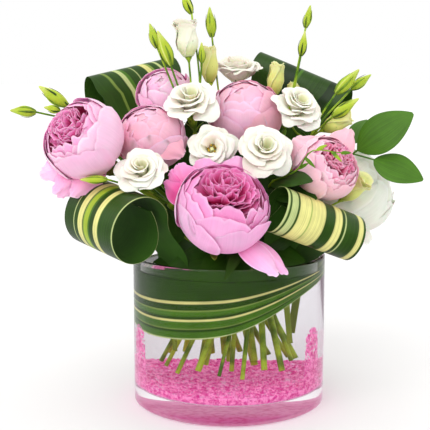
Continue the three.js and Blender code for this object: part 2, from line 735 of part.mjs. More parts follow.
// Every leafy stem: its place in the bunch, its top and the way it ends, and its leaves as
// [distance below the top, tip, width, facing, sag]
const LEAFY_STEMS = [
  {
    name: "ruscus_sprig", ring: "outer", slot: 10, top: [124, 4, 249], axis: [0.72, -0.1, 0.6],
    leaves: [
      [6, [179, -12, 287], 42, [-0.25, -0.8, 0.35]],
      [2, [188, -24, 225], 34, [0.1, -0.8, 0.55]],
      [10, [150, 56, 276], 26, [0.1, -0.3, 0.9]],
    ],
  },
  {
    name: "foliage_front_right", ring: "outer", slot: 7, top: [42, -40, 226], axis: [0.45, -0.5, 0.7],
    leaves: [[3, [75, -83, 230], 22, [0, -0.55, 0.85]]],
  },
  {
    name: "foliage_front", ring: "outer", slot: 6, top: [15, -54, 169], axis: [0, -0.7, 0.6],
    leaves: [[2, [-5, -108, 143], 11, [0, -0.5, 0.85], 4]],
  },
  {
    name: "foliage_rear", ring: "outer", slot: 0, top: [-34, 62, 180], axis: [-0.3, 0.75, 0.6],
    leaves: [[2, [-58, 110, 182], 30, [0, 0.4, 0.9]], [6, [4, 112, 180], 30, [0, 0.4, 0.9]]],
  },
];

function addLeafyStem({ name, ring, slot, top, axis, leaves }) {
  const crown = vec(...top);
  const way = vec(...axis).normalize();
  const stem = stalk({ ...stemPath(ring, slot, 40, crown, way), radius: LEAFY_STEM_RADIUS, steps: 4 });
  const joint = (below) => crown.clone().addScaledVector(way, -below);
  const blades = leaves.map(([below, ...leaf]) => plainLeaf(joint(below), ...leaf));
  sinkStem(ring, slot, 40, LEAFY_STEM_RADIUS);
  piece(name, fuse([stem, ...blades]), finish.leaf());
}

// The water, cut away round every stem and leaf that stands in it
function waterSolid() {
  const radius = INNER_RADIUS - CLEARANCE;
  const profile = [[0, WATER_FLOOR], [radius, WATER_FLOOR], [radius, WATER_LEVEL], [0, WATER_LEVEL]];
  const wrapHole = wrapSolid(WRAP.radius + 1, 0.6, LEAF_THICKNESS + 3.6);
  return turned(profile, VASE.sides).subtract(fuse([...sunk, wrapHole]));
}

// Assembly

piece("vase", vaseSolid(), finish.glass());
piece("crushed_glass", chipsSolid(), finish.chips());
piece("leaf_wrap", wrapSolid(WRAP.radius, 0, LEAF_THICKNESS), finish.leaf());
for (const roll of ROLLS) piece(roll.name, rollSolid(roll), finish.leaf());
PEONIES.forEach(addPeony);
Object.keys(LISIANTHUS).forEach(addLisianthus);
Object.keys(WOUND).forEach(addWound);
SPRAYS.forEach(addSpray);
LEAFY_STEMS.forEach(addLeafyStem);
piece("water", waterSolid(), finish.water());

export default bouquet;
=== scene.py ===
"""Peonies, lisianthus and rolled aspidistra leaves in a low glass cylinder vase, with water and a bed of
crushed pink glass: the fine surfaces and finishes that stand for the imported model's nodes.

Shapes are worked out in millimetres, in the frame's axes, and become metres when a piece is made."""
import math
import random

import bpy
import numpy as np
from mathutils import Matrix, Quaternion, Vector


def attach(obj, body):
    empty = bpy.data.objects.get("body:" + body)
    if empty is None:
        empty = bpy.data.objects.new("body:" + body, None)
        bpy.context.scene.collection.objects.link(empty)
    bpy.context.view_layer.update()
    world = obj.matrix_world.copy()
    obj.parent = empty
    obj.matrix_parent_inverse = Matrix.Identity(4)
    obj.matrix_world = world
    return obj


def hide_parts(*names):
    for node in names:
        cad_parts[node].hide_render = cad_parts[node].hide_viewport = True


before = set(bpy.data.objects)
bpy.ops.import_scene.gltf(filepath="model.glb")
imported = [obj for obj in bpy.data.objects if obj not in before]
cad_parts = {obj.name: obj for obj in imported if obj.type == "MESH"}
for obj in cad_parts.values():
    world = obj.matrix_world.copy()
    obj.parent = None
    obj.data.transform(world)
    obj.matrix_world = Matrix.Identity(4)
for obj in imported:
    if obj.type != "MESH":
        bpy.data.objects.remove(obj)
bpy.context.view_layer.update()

BODY = "root"
MM = 0.001

# The vase and what lies in it
VASE_RADIUS = 96.0
INNER_RADIUS = 92.0
VASE_HEIGHT = 150.0
VASE_FLOOR = 20.0
VASE_SIDES = 160
FOOT_ROUND = 4.0
RIM_ROUND = 1.8
FLOOR_ROUND = 3.0
DISH_RADIUS = 70.0
DISH_DEPTH = 4.5
DISH_RINGS = 14
WATER_LEVEL = 137.0
WATER_LAP = 0.25

# The bed of crushed glass
BED_TOP = 28.0
BED_FOOT = VASE_FLOOR - 0.5
BED_BODY_TOP = BED_TOP - 1.2
BED_RADIUS = INNER_RADIUS - 1.4
BED_SIDES = 72
BED_RINGS = 12
BACK_DROP = 3.2
CHIP_SEED = 7
RIPPLE_SEED = 3
CHIP_COUNT = 6500
CHIPS_ON_TOP = CHIP_COUNT * 3 // 5
CHIP_SIZE = (1.1, 2.4)
CHIP_SIZE_AT_GLASS = 1.4
CHIP_CORNERS = [(1, 0, 0), (-1, 0, 0), (0, 1, 0), (0, -1, 0), (0, 0, 1), (0, 0, -1)]
CHIP_FACES = [(0, 2, 4), (2, 1, 4), (1, 3, 4), (3, 0, 4), (2, 0, 5), (1, 2, 5), (3, 1, 5), (0, 3, 5)]
CLINGING_COUNT = 800
CLINGING_TURNS = (-1.2, 1.04)
CLINGING_TOP = 84.0
CLINGING_WIDTH = 0.085

# The bunch of stems
WAIST_HEIGHT = 150.0
WAIST_TOP = WAIST_HEIGHT + 12
RINGS = {"centre": (1, 0.0), "inner": (6, 9.5), "outer": (16, 21.5)}
FIRST_SLOT = -170.0
SPIRAL = 0.0195
PEONY_STEM_RADIUS = 2.7
PEONY_STEM_CUTS = (36, 46)
PEONY_STEM_END = 7
PEONY_CUP = [(-5, 3.4), (-3, 6.0), (-1.8, 8.6), (-0.9, 9.3)]
SPRAY_STEM_RADIUS = 2.0
SPRAY_STEM_CUTS = (33, 46)
KNUCKLE_RADII = (2.3, 2.8, 2.2)
BRANCH_RADIUS = 0.95
BRANCH_GAP = 6
COLLAR_LIFT = 3
LEAFY_STEM_RADIUS = 1.7
LEAFY_STEM_CUT = 40
PEONY_STEM_SIDES = 12
STEM_SIDES = 10
BRANCH_SIDES = 8
STEM_STEPS = 26
CURVE_STEPS = 24
BRANCH_STEPS = 18
TWIG_STEPS = 20

# Petals, leaves, hearts and buds, with the steps across and along each kind
PETAL_THICKNESS = 0.55
RUFFLE_THICKNESS = 0.45
SEPAL_THICKNESS = 0.7
LEAF_THICKNESS = 0.8
PETAL_ROOT = 16.0
BALL_CENTRE = 0.92
CUP_DEPTH = 0.62
BALL_STEPS = (16, 20)
INNER_BALL_STEPS = (14, 16)
RUFFLE_STEPS = (12, 12)
LOOSE_STEPS = (14, 18)
SEPAL_STEPS = (8, 12)
CUP_STEPS = (16, 14)
WOUND_STEPS = (14, 20)
NARROW_LEAF_STEPS = (4, 12)
BROAD_LEAF_STEPS = (14, 30)
ROLL_STEPS = (24, 150)
WRAP_STEPS = (28, 150)
PEONY_HEART_SIDES = 20
CUP_HEART_SIDES = 14
WOUND_HEART_SIDES = 12
BUD_SIDES = 18
BUD_RINGS = 22

UP = np.array([0.0, 0.0, 1.0])


# Vectors and curves


def vec(*values):
    return np.array(values, float)


def unit(v):
    v = np.asarray(v, float)
    return v / np.linalg.norm(v)


def smoothstep(x, low, high):
    t = np.clip((x - low) / (high - low), 0, 1)
    return t * t * (3 - 2 * t)


def mixed(a, b, share):
    return a + (b - a) * share


def stacked(x, y, z):
    """Places as rows, from three arrays or numbers."""
    return np.stack(np.broadcast_arrays(x, y, z), axis=-1).astype(float)


def around(radius, angle, height):
    """Places round the local +Z axis."""
    return stacked(radius * np.cos(angle), radius * np.sin(angle), height)


def turned_axes(axis, spin=0.0):
    """The rotation that stands local +Z along axis, after a turn about it by spin degrees."""
    stand = Vector((0, 0, 1)).rotation_difference(Vector(axis))
    return np.array((stand @ Quaternion((0, 0, 1), math.radians(spin))).to_matrix())


def outward(angle):
    """The level way at an angle in radians round +Z."""
    return vec(math.cos(angle), math.sin(angle), 0)


def placed(axes, base):
    """Moves places from a piece's own axes to where it stands."""
    return lambda places: places @ axes.T + base


def run_along(path):
    """How far along a path each of its places lies."""
    return np.concatenate([[0], np.cumsum(np.linalg.norm(np.diff(path, axis=0), axis=1))])


def catmull_rom(points, steps):
    """Evenly spaced places on a centripetal curve through points."""
    points = [np.asarray(p, float) for p in points]
    ends = [2 * points[0] - points[1], *points, 2 * points[-1] - points[-2]]
    fine = []
    for i in range(len(points) - 1):
        a, b, c, d = ends[i : i + 4]
        gaps = [max(np.linalg.norm(q - p), 1e-4) ** 0.5 for p, q in ((a, b), (b, c), (c, d))]
        leave = ((b - a) / gaps[0] - (c - a) / (gaps[0] + gaps[1]) + (c - b) / gaps[1]) * gaps[1]
        arrive = ((c - b) / gaps[1] - (d - b) / (gaps[1] + gaps[2]) + (d - c) / gaps[2]) * gaps[1]
        for t in np.linspace(0, 1, CURVE_STEPS, endpoint=i == len(points) - 2):
            fine.append(
                (2 * t**3 - 3 * t**2 + 1) * b
                + (t**3 - 2 * t**2 + t) * leave
                + (3 * t**2 - 2 * t**3) * c
                + (t**3 - t**2) * arrive
            )
    fine = np.array(fine)
    run = run_along(fine)
    even = np.linspace(0, run[-1], steps + 1)
    return np.stack([np.interp(even, run, fine[:, k]) for k in range(3)], axis=1)


def along(values, v):
    """A smooth run through values, at v from 0 to 1."""
    values = np.asarray(values, float)
    place = v * (len(values) - 1)
    i = np.minimum(np.floor(place).astype(int), len(values) - 2)
    share = place - i
    a, b, c, d = [values[np.clip(i + k, 0, len(values) - 1)] for k in (-1, 0, 1, 2)]
    bend = (2 * a - 5 * b + 4 * c - d) * share**2 + (3 * b - a - 3 * c + d) * share**3
    return 0.5 * (2 * b + (c - a) * share + bend)


class Wobble:
    """A smooth wave with seeded phases, from about -1 to 1."""

    def __init__(self, chance, waves):
        self.parts = [(w, chance.uniform(0, 2 * math.pi), 1 / (1 + 0.6 * i)) for i, w in enumerate(waves)]
        self.total = sum(size for _, _, size in self.parts)

    def __call__(self, x):
        return sum(size * np.sin(w * x + phase) for w, phase, size in self.parts) / self.total


def notched(chance, depth):
    """How far a petal's tip falls short, across it: a rounded tip with a few small notches."""
    places = [chance.uniform(-0.75, 0.75) for _ in range(chance.randint(1, 3))]
    sizes = [chance.uniform(0.4, 1) * depth for _ in places]
    wave = Wobble(chance, (3.0, 7.0, 13.0))

    def short(u):
        cuts = sum(s * np.exp(-(((u - p) / 0.09) ** 2)) for p, s in zip(places, sizes))
        return cuts + 0.35 * depth * wave(u)

    return short


def laid(start, end, facing):
    """Lays out places from start to end: shares of the way, then millimetres to the side and outwards."""
    run = end - start
    side = unit(np.cross(run, facing))
    out = unit(np.cross(side, run))
    return lambda far, aside, raised: (
        start + run * far[:, None] + side * aside[:, None] + out * raised[:, None]
    )


# Surfaces


def linked(name, data):
    made = bpy.data.objects.new(name, data)
    bpy.context.scene.collection.objects.link(made)
    return made


class Surface:
    """The surfaces of one piece, each with its places, its faces, its UVs, its tint and its material."""

    def __init__(self):
        self.places = []
        self.faces = []
        self.looks = []
        self.uvs = []
        self.tints = []
        self.count = 0

    def add(self, places, faces, uvs, tint, look=0):
        """tint is depth, chance and shade, each one number or one for each place. look is the place of
        the material in the piece's list."""
        size = len(places)
        self.places.append(places)
        for group in faces:
            self.faces.append(group + self.count)
            self.looks.append(np.full(len(group), look))
        self.uvs.append(uvs)
        columns = [np.broadcast_to(np.asarray(t, float), (size,)) for t in tint]
        self.tints.append(np.stack([*columns, np.ones(size)], axis=1))
        self.count += size

    def piece(self, name, materials, replaced, crease=50.0):
        """Makes the piece, which rides on the row's body and stands for its CAD node."""
        places = np.concatenate(self.places) * MM
        sizes = np.concatenate([np.full(len(g), g.shape[1]) for g in self.faces])
        corners = np.concatenate([g.ravel() for g in self.faces])
        mesh = bpy.data.meshes.new(name)
        mesh.vertices.add(len(places))
        mesh.vertices.foreach_set("co", places.ravel())
        mesh.loops.add(len(corners))
        mesh.loops.foreach_set("vertex_index", corners)
        mesh.polygons.add(len(sizes))
        mesh.polygons.foreach_set("loop_start", np.concatenate([[0], np.cumsum(sizes)[:-1]]))
        mesh.polygons.foreach_set("material_index", np.concatenate(self.looks))
        mesh.polygons.foreach_set("use_smooth", np.ones(len(sizes), bool))
        layer = mesh.uv_layers.new(name="UVMap")
        layer.data.foreach_set("uv", np.concatenate(self.uvs)[corners].ravel())
        tint = mesh.attributes.new("tint", "FLOAT_COLOR", "POINT")
        tint.data.foreach_set("color", np.concatenate(self.tints).ravel())
        mesh.update(calc_edges=True)
        mesh.validate()
        mesh.set_sharp_from_angle(angle=math.radians(crease))
        for material in materials:
            mesh.materials.append(material)
        made = linked(name, mesh)
        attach(made, BODY)
        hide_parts(replaced)


def blade(surface, point, steps, thickness, tint=(0, 0, 0), look=0, thin=0.6, tones=None):
    """A thin closed blade about the surface point(u, v), with u from -1 to 1 and v from 0 to 1. It is
    thinner by the share thin at its edges. tones(v) gives the chance and shade of its two sides, in place
    of the tint's."""
    across, lengthways = steps
    row = across + 1
    u, v = [g.ravel() for g in np.meshgrid(np.linspace(-1, 1, row), np.linspace(0, 1, lengthways + 1))]
    first = (np.arange(lengthways)[:, None] * row + np.arange(across)).ravel()
    front = np.stack([first, first + 1, first + row + 1, first + row], axis=1)
    step = 1e-3
    middle = point(u, v)
    du = point(np.minimum(u + step, 1), v) - point(np.maximum(u - step, -1), v)
    dv = point(u, np.minimum(v + step, 1)) - point(u, np.maximum(v - step, 0))
    normal = np.cross(du, dv)
    normal /= np.linalg.norm(normal, axis=1, keepdims=True) + 1e-12
    half = thickness / 2 * (1 - thin * np.maximum(np.abs(u) ** 6, v**6))
    places = np.concatenate([middle + normal * half[:, None], middle - normal * half[:, None]])
    count = len(u)
    rim = np.array(
        [
            *range(across),
            *(across + j * row for j in range(lengthways)),
            *(lengthways * row + i for i in range(across, 0, -1)),
            *(j * row for j in range(lengthways, 0, -1)),
        ]
    )
    after = np.roll(rim, -1)
    edge = np.stack([rim, rim + count, after + count, after], axis=1)
    uvs = np.stack([(u + 1) / 2, v], axis=1)
    both = [np.concatenate([np.broadcast_to(t, (count,))] * 2) for t in tint]
    if tones:
        both[1:] = np.concatenate(tones(v), axis=1)
    surface.add(places, [front, front[:, ::-1] + count, edge], np.concatenate([uvs, uvs]), both, look)


def sleeve(sides, rings):
    """The faces of a closed tube: walls between rings of places, and caps to the two places after them."""
    here = np.arange(sides)
    after = (here + 1) % sides
    first = np.arange(rings - 1)[:, None] * sides
    walls = np.stack([first + here, first + after, first + sides + after, first + sides + here], axis=2)
    end = rings * sides
    last = end - sides
    foot = np.stack([np.full(sides, end), after, here], axis=1)
    head = np.stack([np.full(sides, end + 1), last + here, last + after], axis=1)
    return [walls.reshape(-1, 4), np.concatenate([foot, head])]


def tube(surface, path, radii, sides, tint, look=0):
    """A round closed tube through the places of path, with a radius at each."""
    path = np.asarray(path, float)
    radii = np.broadcast_to(np.asarray(radii, float), (len(path),))
    ways = np.gradient(path, axis=0)
    ways /= np.linalg.norm(ways, axis=1, keepdims=True) + 1e-12
    side = np.cross(ways[0], UP if abs(ways[0][2]) < 0.9 else vec(1, 0, 0))
    rings = []
    angles = np.arange(sides) * 2 * math.pi / sides
    for place, way, radius in zip(path, ways, radii):
        side = unit(side - way * np.dot(side, way))
        other = np.cross(way, side)
        rings.append(place + radius * (np.cos(angles)[:, None] * side + np.sin(angles)[:, None] * other))
    places = np.concatenate([*rings, path[:1], path[-1:]])
    run = run_along(path)
    round_share = np.tile(np.abs(np.arange(sides) / sides * 2 - 1), len(path))
    uvs = np.stack([round_share, np.repeat(run / 100, sides)], axis=1)
    uvs = np.concatenate([uvs, [[0.5, 0]], [[0.5, run[-1] / 100]]])
    surface.add(places, sleeve(sides, len(path)), uvs, tint, look)


def lathe(surface, profile, sides, tint=(0, 0, 0), look=0, shape=None, place=None):
    """A turned closed shape from (radius, height) pairs that start and end on the axis. shape changes
    them with the angle, and place moves the made places."""
    profile = np.asarray(profile, float)
    middle = profile[1:-1]
    radius, height = np.repeat(middle[:, 0], sides), np.repeat(middle[:, 1], sides)
    angle = np.tile(np.arange(sides) * 2 * math.pi / sides, len(middle))
    if shape:
        radius, height = shape(radius, height, angle)
    ends = [[0, 0, profile[0][1]], [0, 0, profile[-1][1]]]
    places = np.concatenate([around(radius, angle, height), ends])
    share = np.linspace(0, 1, len(middle))
    uvs = np.stack([np.abs(angle / math.pi - 1), np.repeat(share, sides)], axis=1)
    uvs = np.concatenate([uvs, [[0.5, 0], [0.5, 1]]])
    surface.add(place(places) if place else places, sleeve(sides, len(middle)), uvs, tint, look)


def rounded(profile, rounds, steps=6):
    """The profile with some corners rounded: rounds gives their place in it and their radius."""
    made = []
    for i, corner in enumerate(profile):
        corner = np.asarray(corner, float)
        if i not in rounds:
            made.append(corner)
            continue
        before = corner + unit(np.asarray(profile[i - 1]) - corner) * rounds[i]
        after = corner + unit(np.asarray(profile[i + 1]) - corner) * rounds[i]
        centre = before + after - corner
        for t in np.linspace(0, math.pi / 2, steps + 1):
            made.append(centre + (before - centre) * math.cos(t) + (after - centre) * math.sin(t))
    return made


# Shader nodes


def paint(code):
    """An sRGB colour code as the linear colour of a shader socket."""
    parts = [int(code[i : i + 2], 16) / 255 for i in (1, 3, 5)]
    linear = [p / 12.92 if p <= 0.04045 else ((p + 0.055) / 1.055) ** 2.4 for p in parts]
    return (*linear, 1.0)


class Nodes:
    """Adds nodes to a tree, with each input set to a value or joined to another node's output."""

    def __init__(self, tree):
        self.tree = tree

    def add(self, kind, inputs=None, **settings):
        node = self.tree.nodes.new(kind)
        for key, value in settings.items():
            setattr(node, key, value)
        for key, value in (inputs or {}).items():
            socket = node.inputs[key]
            if isinstance(value, bpy.types.NodeSocket):
                self.tree.links.new(value, socket)
            else:
                socket.default_value = value
        return node

    def math(self, operation, a, b=0.0, c=0.0, clamp=False):
        inputs = {0: a, 1: b, 2: c}
        return self.add("ShaderNodeMath", inputs, operation=operation, use_clamp=clamp).outputs[0]

    def ramp(self, value, low, high, to_low=0.0, to_high=1.0):
        inputs = {"Value": value, "From Min": low, "From Max": high, "To Min": to_low, "To Max": to_high}
        return self.add("ShaderNodeMapRange", inputs, interpolation_type="SMOOTHSTEP").outputs[0]

    def blend(self, share, a, b, kind="MIX"):
        inputs = {0: share, 6: a, 7: b}
        return self.add("ShaderNodeMix", inputs, data_type="RGBA", blend_type=kind).outputs[2]

    def lit(self, colour, light):
        """The colour made lighter or darker by light."""
        return self.blend(1.0, colour, self.vector(light, light, light), "MULTIPLY")

    def times(self, a, b):
        return self.math("MULTIPLY", a, b)

    def plus(self, a, b, clamp=False):
        return self.math("ADD", a, b, clamp=clamp)

    def noise(self, vector, scale, detail):
        inputs = {"Vector": vector, "Scale": scale, "Detail": detail}
        return self.add("ShaderNodeTexNoise", inputs).outputs["Fac"]

    def uv(self):
        made = self.add("ShaderNodeUVMap", uv_map="UVMap").outputs[0]
        return self.add("ShaderNodeSeparateXYZ", {0: made}).outputs

    def tint(self):
        made = self.add("ShaderNodeAttribute", attribute_name="tint").outputs["Color"]
        return self.add("ShaderNodeSeparateColor", {0: made}).outputs

    def place(self):
        return self.add("ShaderNodeTexCoord").outputs["Object"]

    def mottle(self, scale, detail):
        return self.noise(self.place(), scale, detail)

    def vector(self, x, y, z=0.0):
        return self.add("ShaderNodeCombineXYZ", {0: x, 1: y, 2: z}).outputs[0]

    def group(self, tree, values):
        return self.add("ShaderNodeGroup", values, node_tree=tree).outputs

    def bump(self, height, strength, distance=0.0005):
        inputs = {"Height": height, "Strength": strength, "Distance": distance}
        return self.add("ShaderNodeBump", inputs).outputs[0]

    def finish(self, inputs):
        """The Principled shader on the material's surface."""
        body = self.add("ShaderNodeBsdfPrincipled", inputs)
        self.add("ShaderNodeOutputMaterial", {"Surface": body.outputs[0]})


def cleared(owner):
    """The empty node tree of a material or a world."""
    owner.use_nodes = True
    owner.node_tree.nodes.clear()
    return Nodes(owner.node_tree)


def new_material(name):
    made = bpy.data.materials.new(name)
    return made, cleared(made)


def shader_group(name, inputs, outputs, fill):
    """A shared effect: fill(nodes, entry) gives the values of its outputs, by their names."""
    tree = bpy.data.node_groups.new(name, "ShaderNodeTree")
    for label, value in inputs.items():
        kind = "NodeSocketColor" if isinstance(value, tuple) else "NodeSocketFloat"
        tree.interface.new_socket(label, in_out="INPUT", socket_type=kind).default_value = value
    for label, kind in outputs.items():
        tree.interface.new_socket(label, in_out="OUTPUT", socket_type=f"NodeSocket{kind}")
    nodes = Nodes(tree)
    entry = nodes.add("NodeGroupInput").outputs
    nodes.add("NodeGroupOutput", fill(nodes, entry))
    return tree


def petal_effect(nodes, entry):
    """A petal's tones from root to tip, paler at its rim, with warm patches and fine streaks."""
    u, v, _ = nodes.uv()
    depth, chance, shade = nodes.tint()
    outer = nodes.blend(nodes.ramp(v, 0.0, 0.5), entry["Root"], entry["Middle"])
    outer = nodes.blend(nodes.ramp(v, 0.62, 1.0), outer, entry["Tip"])
    inner = nodes.blend(nodes.ramp(v, 0.5, 1.0), entry["Heart root"], entry["Heart tip"])
    colour = nodes.blend(depth, outer, inner)
    middle = nodes.math("ABSOLUTE", nodes.math("MULTIPLY_ADD", u, 2.0, -1.0))
    near = nodes.math("MAXIMUM", nodes.ramp(middle, 0.6, 0.9), nodes.ramp(v, 0.75, 0.95))
    colour = nodes.blend(nodes.times(near, 0.3), colour, entry["Warm"])
    rim = nodes.math("MAXIMUM", nodes.ramp(middle, 0.88, 0.97), nodes.ramp(v, 0.95, 0.99))
    rim = nodes.times(rim, nodes.ramp(depth, 0.0, 1.0, 0.8, 0.35))
    colour = nodes.blend(rim, colour, entry["Tip"])
    patches = nodes.ramp(nodes.mottle(28.0, 1.0), 0.3, 0.7, -0.25, 0.25)
    warm = nodes.plus(chance, patches, clamp=True)
    warm = nodes.times(warm, nodes.ramp(depth, 0.0, 1.0, 0.6, 0.3))
    colour = nodes.blend(warm, colour, entry["Warm"])
    streaks = nodes.noise(nodes.vector(nodes.times(u, 60.0), v, chance), 1.0, 2.0)
    mottle = nodes.mottle(70.0, 3.0)
    fine = nodes.ramp(streaks, 0.3, 0.7, 0.97, 1.02)
    light = nodes.plus(fine, nodes.ramp(mottle, 0.3, 0.7, -0.03, 0.03))
    light = nodes.times(light, nodes.ramp(shade, 0.0, 1.0, 1.0, 0.55))
    return {"Colour": nodes.lit(colour, light), "Height": nodes.plus(streaks, mottle)}


def across_effect(nodes, entry):
    """The place across a leaf, slanted along it and wandering a little."""
    u, v, _ = nodes.uv()
    drift = nodes.noise(nodes.vector(0.0, nodes.times(v, 5.0), 0.0), 1.0, 1.0)
    wander = nodes.times(nodes.math("SUBTRACT", drift, 0.5), 0.05)
    slant = nodes.times(nodes.math("SUBTRACT", v, 0.5), entry["Slant"])
    return {"Across": nodes.plus(nodes.plus(u, wander), slant)}


def leaf_effect(nodes, entry):
    """A leaf's colour with fine veins along it and a mottle."""
    _, v, _ = nodes.uv()
    lines = nodes.noise(nodes.vector(nodes.times(entry["Across"], entry["Veins"]), v), 1.0, 3.0)
    mottle = nodes.mottle(45.0, 4.0)
    veins = nodes.ramp(lines, 0.3, 0.7, 0.82, 1.12)
    light = nodes.plus(veins, nodes.ramp(mottle, 0.3, 0.7, -0.1, 0.1))
    height = nodes.plus(lines, nodes.times(mottle, 0.4))
    return {"Colour": nodes.lit(entry["Colour"], light), "Height": height}


def speck_effect(nodes, entry):
    """A mottle of two colours, which leans to one of them by the piece's chance."""
    _, chance, _ = nodes.tint()
    mottle = nodes.mottle(entry["Scale"], 3.0)
    lean = nodes.times(nodes.math("SUBTRACT", chance, 0.5), 0.9)
    share = nodes.plus(lean, nodes.ramp(mottle, 0.35, 0.65), clamp=True)
    return {"Colour": nodes.blend(share, entry["Dark"], entry["Light"]), "Height": mottle}


WHITE = (1.0, 1.0, 1.0, 1.0)
PETAL_TONES = ("Root", "Middle", "Tip", "Heart root", "Heart tip", "Warm")
TONE_AND_HEIGHT = {"Colour": "Color", "Height": "Float"}
PETAL_EFFECT = shader_group(
    "petal_tint", dict.fromkeys(PETAL_TONES, WHITE), TONE_AND_HEIGHT, petal_effect
)
ACROSS_EFFECT = shader_group("leaf_across", {"Slant": 0.0}, {"Across": "Float"}, across_effect)
LEAF_EFFECT = shader_group(
    "leaf_grain", {"Colour": WHITE, "Across": 0.0, "Veins": 60.0}, TONE_AND_HEIGHT, leaf_effect
)
SPECK_EFFECT = shader_group(
    "two_tone_mottle", {"Dark": WHITE, "Light": WHITE, "Scale": 60.0}, TONE_AND_HEIGHT, speck_effect
)


# Materials


def petal_material(name, *tones):
    """A soft petal, with its tones in the order of PETAL_TONES."""
    made, nodes = new_material(name)
    values = {label: paint(tone) for label, tone in zip(PETAL_TONES, tones)}
    effect = nodes.group(PETAL_EFFECT, values)
    nodes.finish(
        {
            "Base Color": effect["Colour"], "Roughness": 0.6, "Specular IOR Level": 0.12,
            "Subsurface Weight": 0.5, "Subsurface Radius": (1.0, 0.6, 0.8), "Subsurface Scale": 0.0012,
            "Normal": nodes.bump(effect["Height"], 0.15),
        }
    )
    return made


STRIPE_COLOURS = {
    "deep": paint("#17300a"),
    "dark": paint("#29490c"),
    "green": paint("#47731a"),
    "dim": paint("#7a9440"),
    "lime": paint("#a3bb34"),
    "pale": paint("#bccb86"),
    "cream": paint("#dbd888"),
}
STRIPE_EDGE = 0.005
STRIPE_VEINS = 90.0
UNDERSIDE_AND_PAINTED_SHADE = paint("#30590e")
LEAF_STALK = paint("#86a02c")


def striped_material(name, bands, slant=0.0, shine=0.26):
    """A leaf with bands across it, each given as (where it starts, its colour), and a plain dark side:
    partly the leaf's underside, partly painted shade.
    """
    made, nodes = new_material(name)
    across = nodes.group(ACROSS_EFFECT, {"Slant": slant})["Across"]
    ramp = nodes.add("ShaderNodeValToRGB", {"Fac": across})
    stops = [(0.0, bands[0][1])]
    for (_, before), (start, colour) in zip(bands, bands[1:]):
        stops += [(start - STRIPE_EDGE, before), (start + STRIPE_EDGE, colour)]
    elements = ramp.color_ramp.elements
    while len(elements) < len(stops):
        elements.new(1.0)
    for element, (position, colour) in zip(elements, stops):
        element.position = position
        element.color = STRIPE_COLOURS[colour]
    _, stalk, shade = nodes.tint()
    # The tint's shade paints plain dark green over the stripes: painted shade inside the curl and on the
    # riser, standing partly for the leaf's plain underside.
    colour = nodes.blend(shade, ramp.outputs["Color"], UNDERSIDE_AND_PAINTED_SHADE)
    colour = nodes.blend(stalk, colour, LEAF_STALK)
    effect = nodes.group(LEAF_EFFECT, {"Colour": colour, "Across": across, "Veins": STRIPE_VEINS})
    nodes.finish(
        {
            "Base Color": effect["Colour"], "Roughness": nodes.ramp(shade, 0.0, 1.0, 0.36, 0.8),
            "Specular IOR Level": shine, "Normal": nodes.bump(effect["Height"], 0.35),
        }
    )
    return made


def leaf_material(name, colour, veins):
    made, nodes = new_material(name)
    across = nodes.group(ACROSS_EFFECT, {"Slant": 0.0})["Across"]
    effect = nodes.group(LEAF_EFFECT, {"Colour": paint(colour), "Across": across, "Veins": veins})
    nodes.finish(
        {
            "Base Color": effect["Colour"], "Roughness": 0.45, "Specular IOR Level": 0.2,
            "Normal": nodes.bump(effect["Height"], 0.3),
        }
    )
    return made


def mottled_material(name, dark, light, scale, roughness, bump=0.2, shine=0.25, translucence_and_painted_glow=0.0):
    made, nodes = new_material(name)
    effect = nodes.group(SPECK_EFFECT, {"Dark": paint(dark), "Light": paint(light), "Scale": scale})
    nodes.finish(
        {
            "Base Color": effect["Colour"], "Roughness": roughness, "Specular IOR Level": shine,
            "Subsurface Weight": translucence_and_painted_glow, "Subsurface Radius": (1.0, 0.5, 0.7), "Subsurface Scale": 0.003,
            # The emission is painted glow: the mottle's own colour shines out where no lamp reaches. The
            # subsurface beside it is real translucence.
            "Emission Color": effect["Colour"], "Emission Strength": 0.5 * translucence_and_painted_glow,
            "Normal": nodes.bump(effect["Height"], bump),
        }
    )
    return made


def clear_material(name, ior, shine):
    """A clear body that lets light straight through to what stands behind it in shadow."""
    made, nodes = new_material(name)
    colour = paint("#f7f6f8")
    body = nodes.add(
        "ShaderNodeBsdfPrincipled",
        {
            "Base Color": colour, "Roughness": 0.0, "IOR": ior, "Transmission Weight": 1.0,
            "Specular Tint": (shine, shine, shine, 1),
            "Normal": nodes.bump(nodes.mottle(9.0, 1.0), 0.02, 0.004),
        },
    )
    passing = nodes.add("ShaderNodeBsdfTransparent", {"Color": colour})
    light = nodes.add("ShaderNodeLightPath").outputs
    share = nodes.math("MAXIMUM", light["Is Shadow Ray"], light["Is Diffuse Ray"])
    both = nodes.add("ShaderNodeMixShader", {0: share, 1: body.outputs[0], 2: passing.outputs[0]})
    nodes.add("ShaderNodeOutputMaterial", {"Surface": both.outputs[0]})
    return made


PINK = petal_material("peony_pink", "#f08eb2", "#fccee6", "#fee0f2", "#e0308c", "#fc8ccc", "#f9a8d0")
LILAC = petal_material("peony_lilac", "#e87cb4", "#f6b8de", "#fbd0ee", "#dc2c86", "#fb8cc6", "#ee88c2")
BLUSH = petal_material("peony_blush", "#f48ea0", "#f7bed6", "#f9ccea", "#d8508c", "#f2a2d0", "#f8a8b0")
ROSE = petal_material("peony_rose", "#f49cae", "#fdd2e2", "#fee0f0", "#e02c7c", "#fb8ec4", "#faaeb8")
PEONY_WHITE = petal_material(
    "peony_white_petal", "#c8cea8", "#eeeee0", "#fbfaf3", "#e0e0b8", "#f4f2e0", "#e8e4d0"
)
LISIANTHUS_WHITE = petal_material(
    "lisianthus_white", "#e3e6bc", "#fbf8ec", "#fdfbf5", "#e2e6b0", "#f8f5de", "#faeede"
)
HALF_OPEN_WHITE = petal_material(
    "half_open_white", "#c6d68c", "#f1efd8", "#faf7ea", "#dce2a8", "#f4f1dc", "#f2ecd0"
)
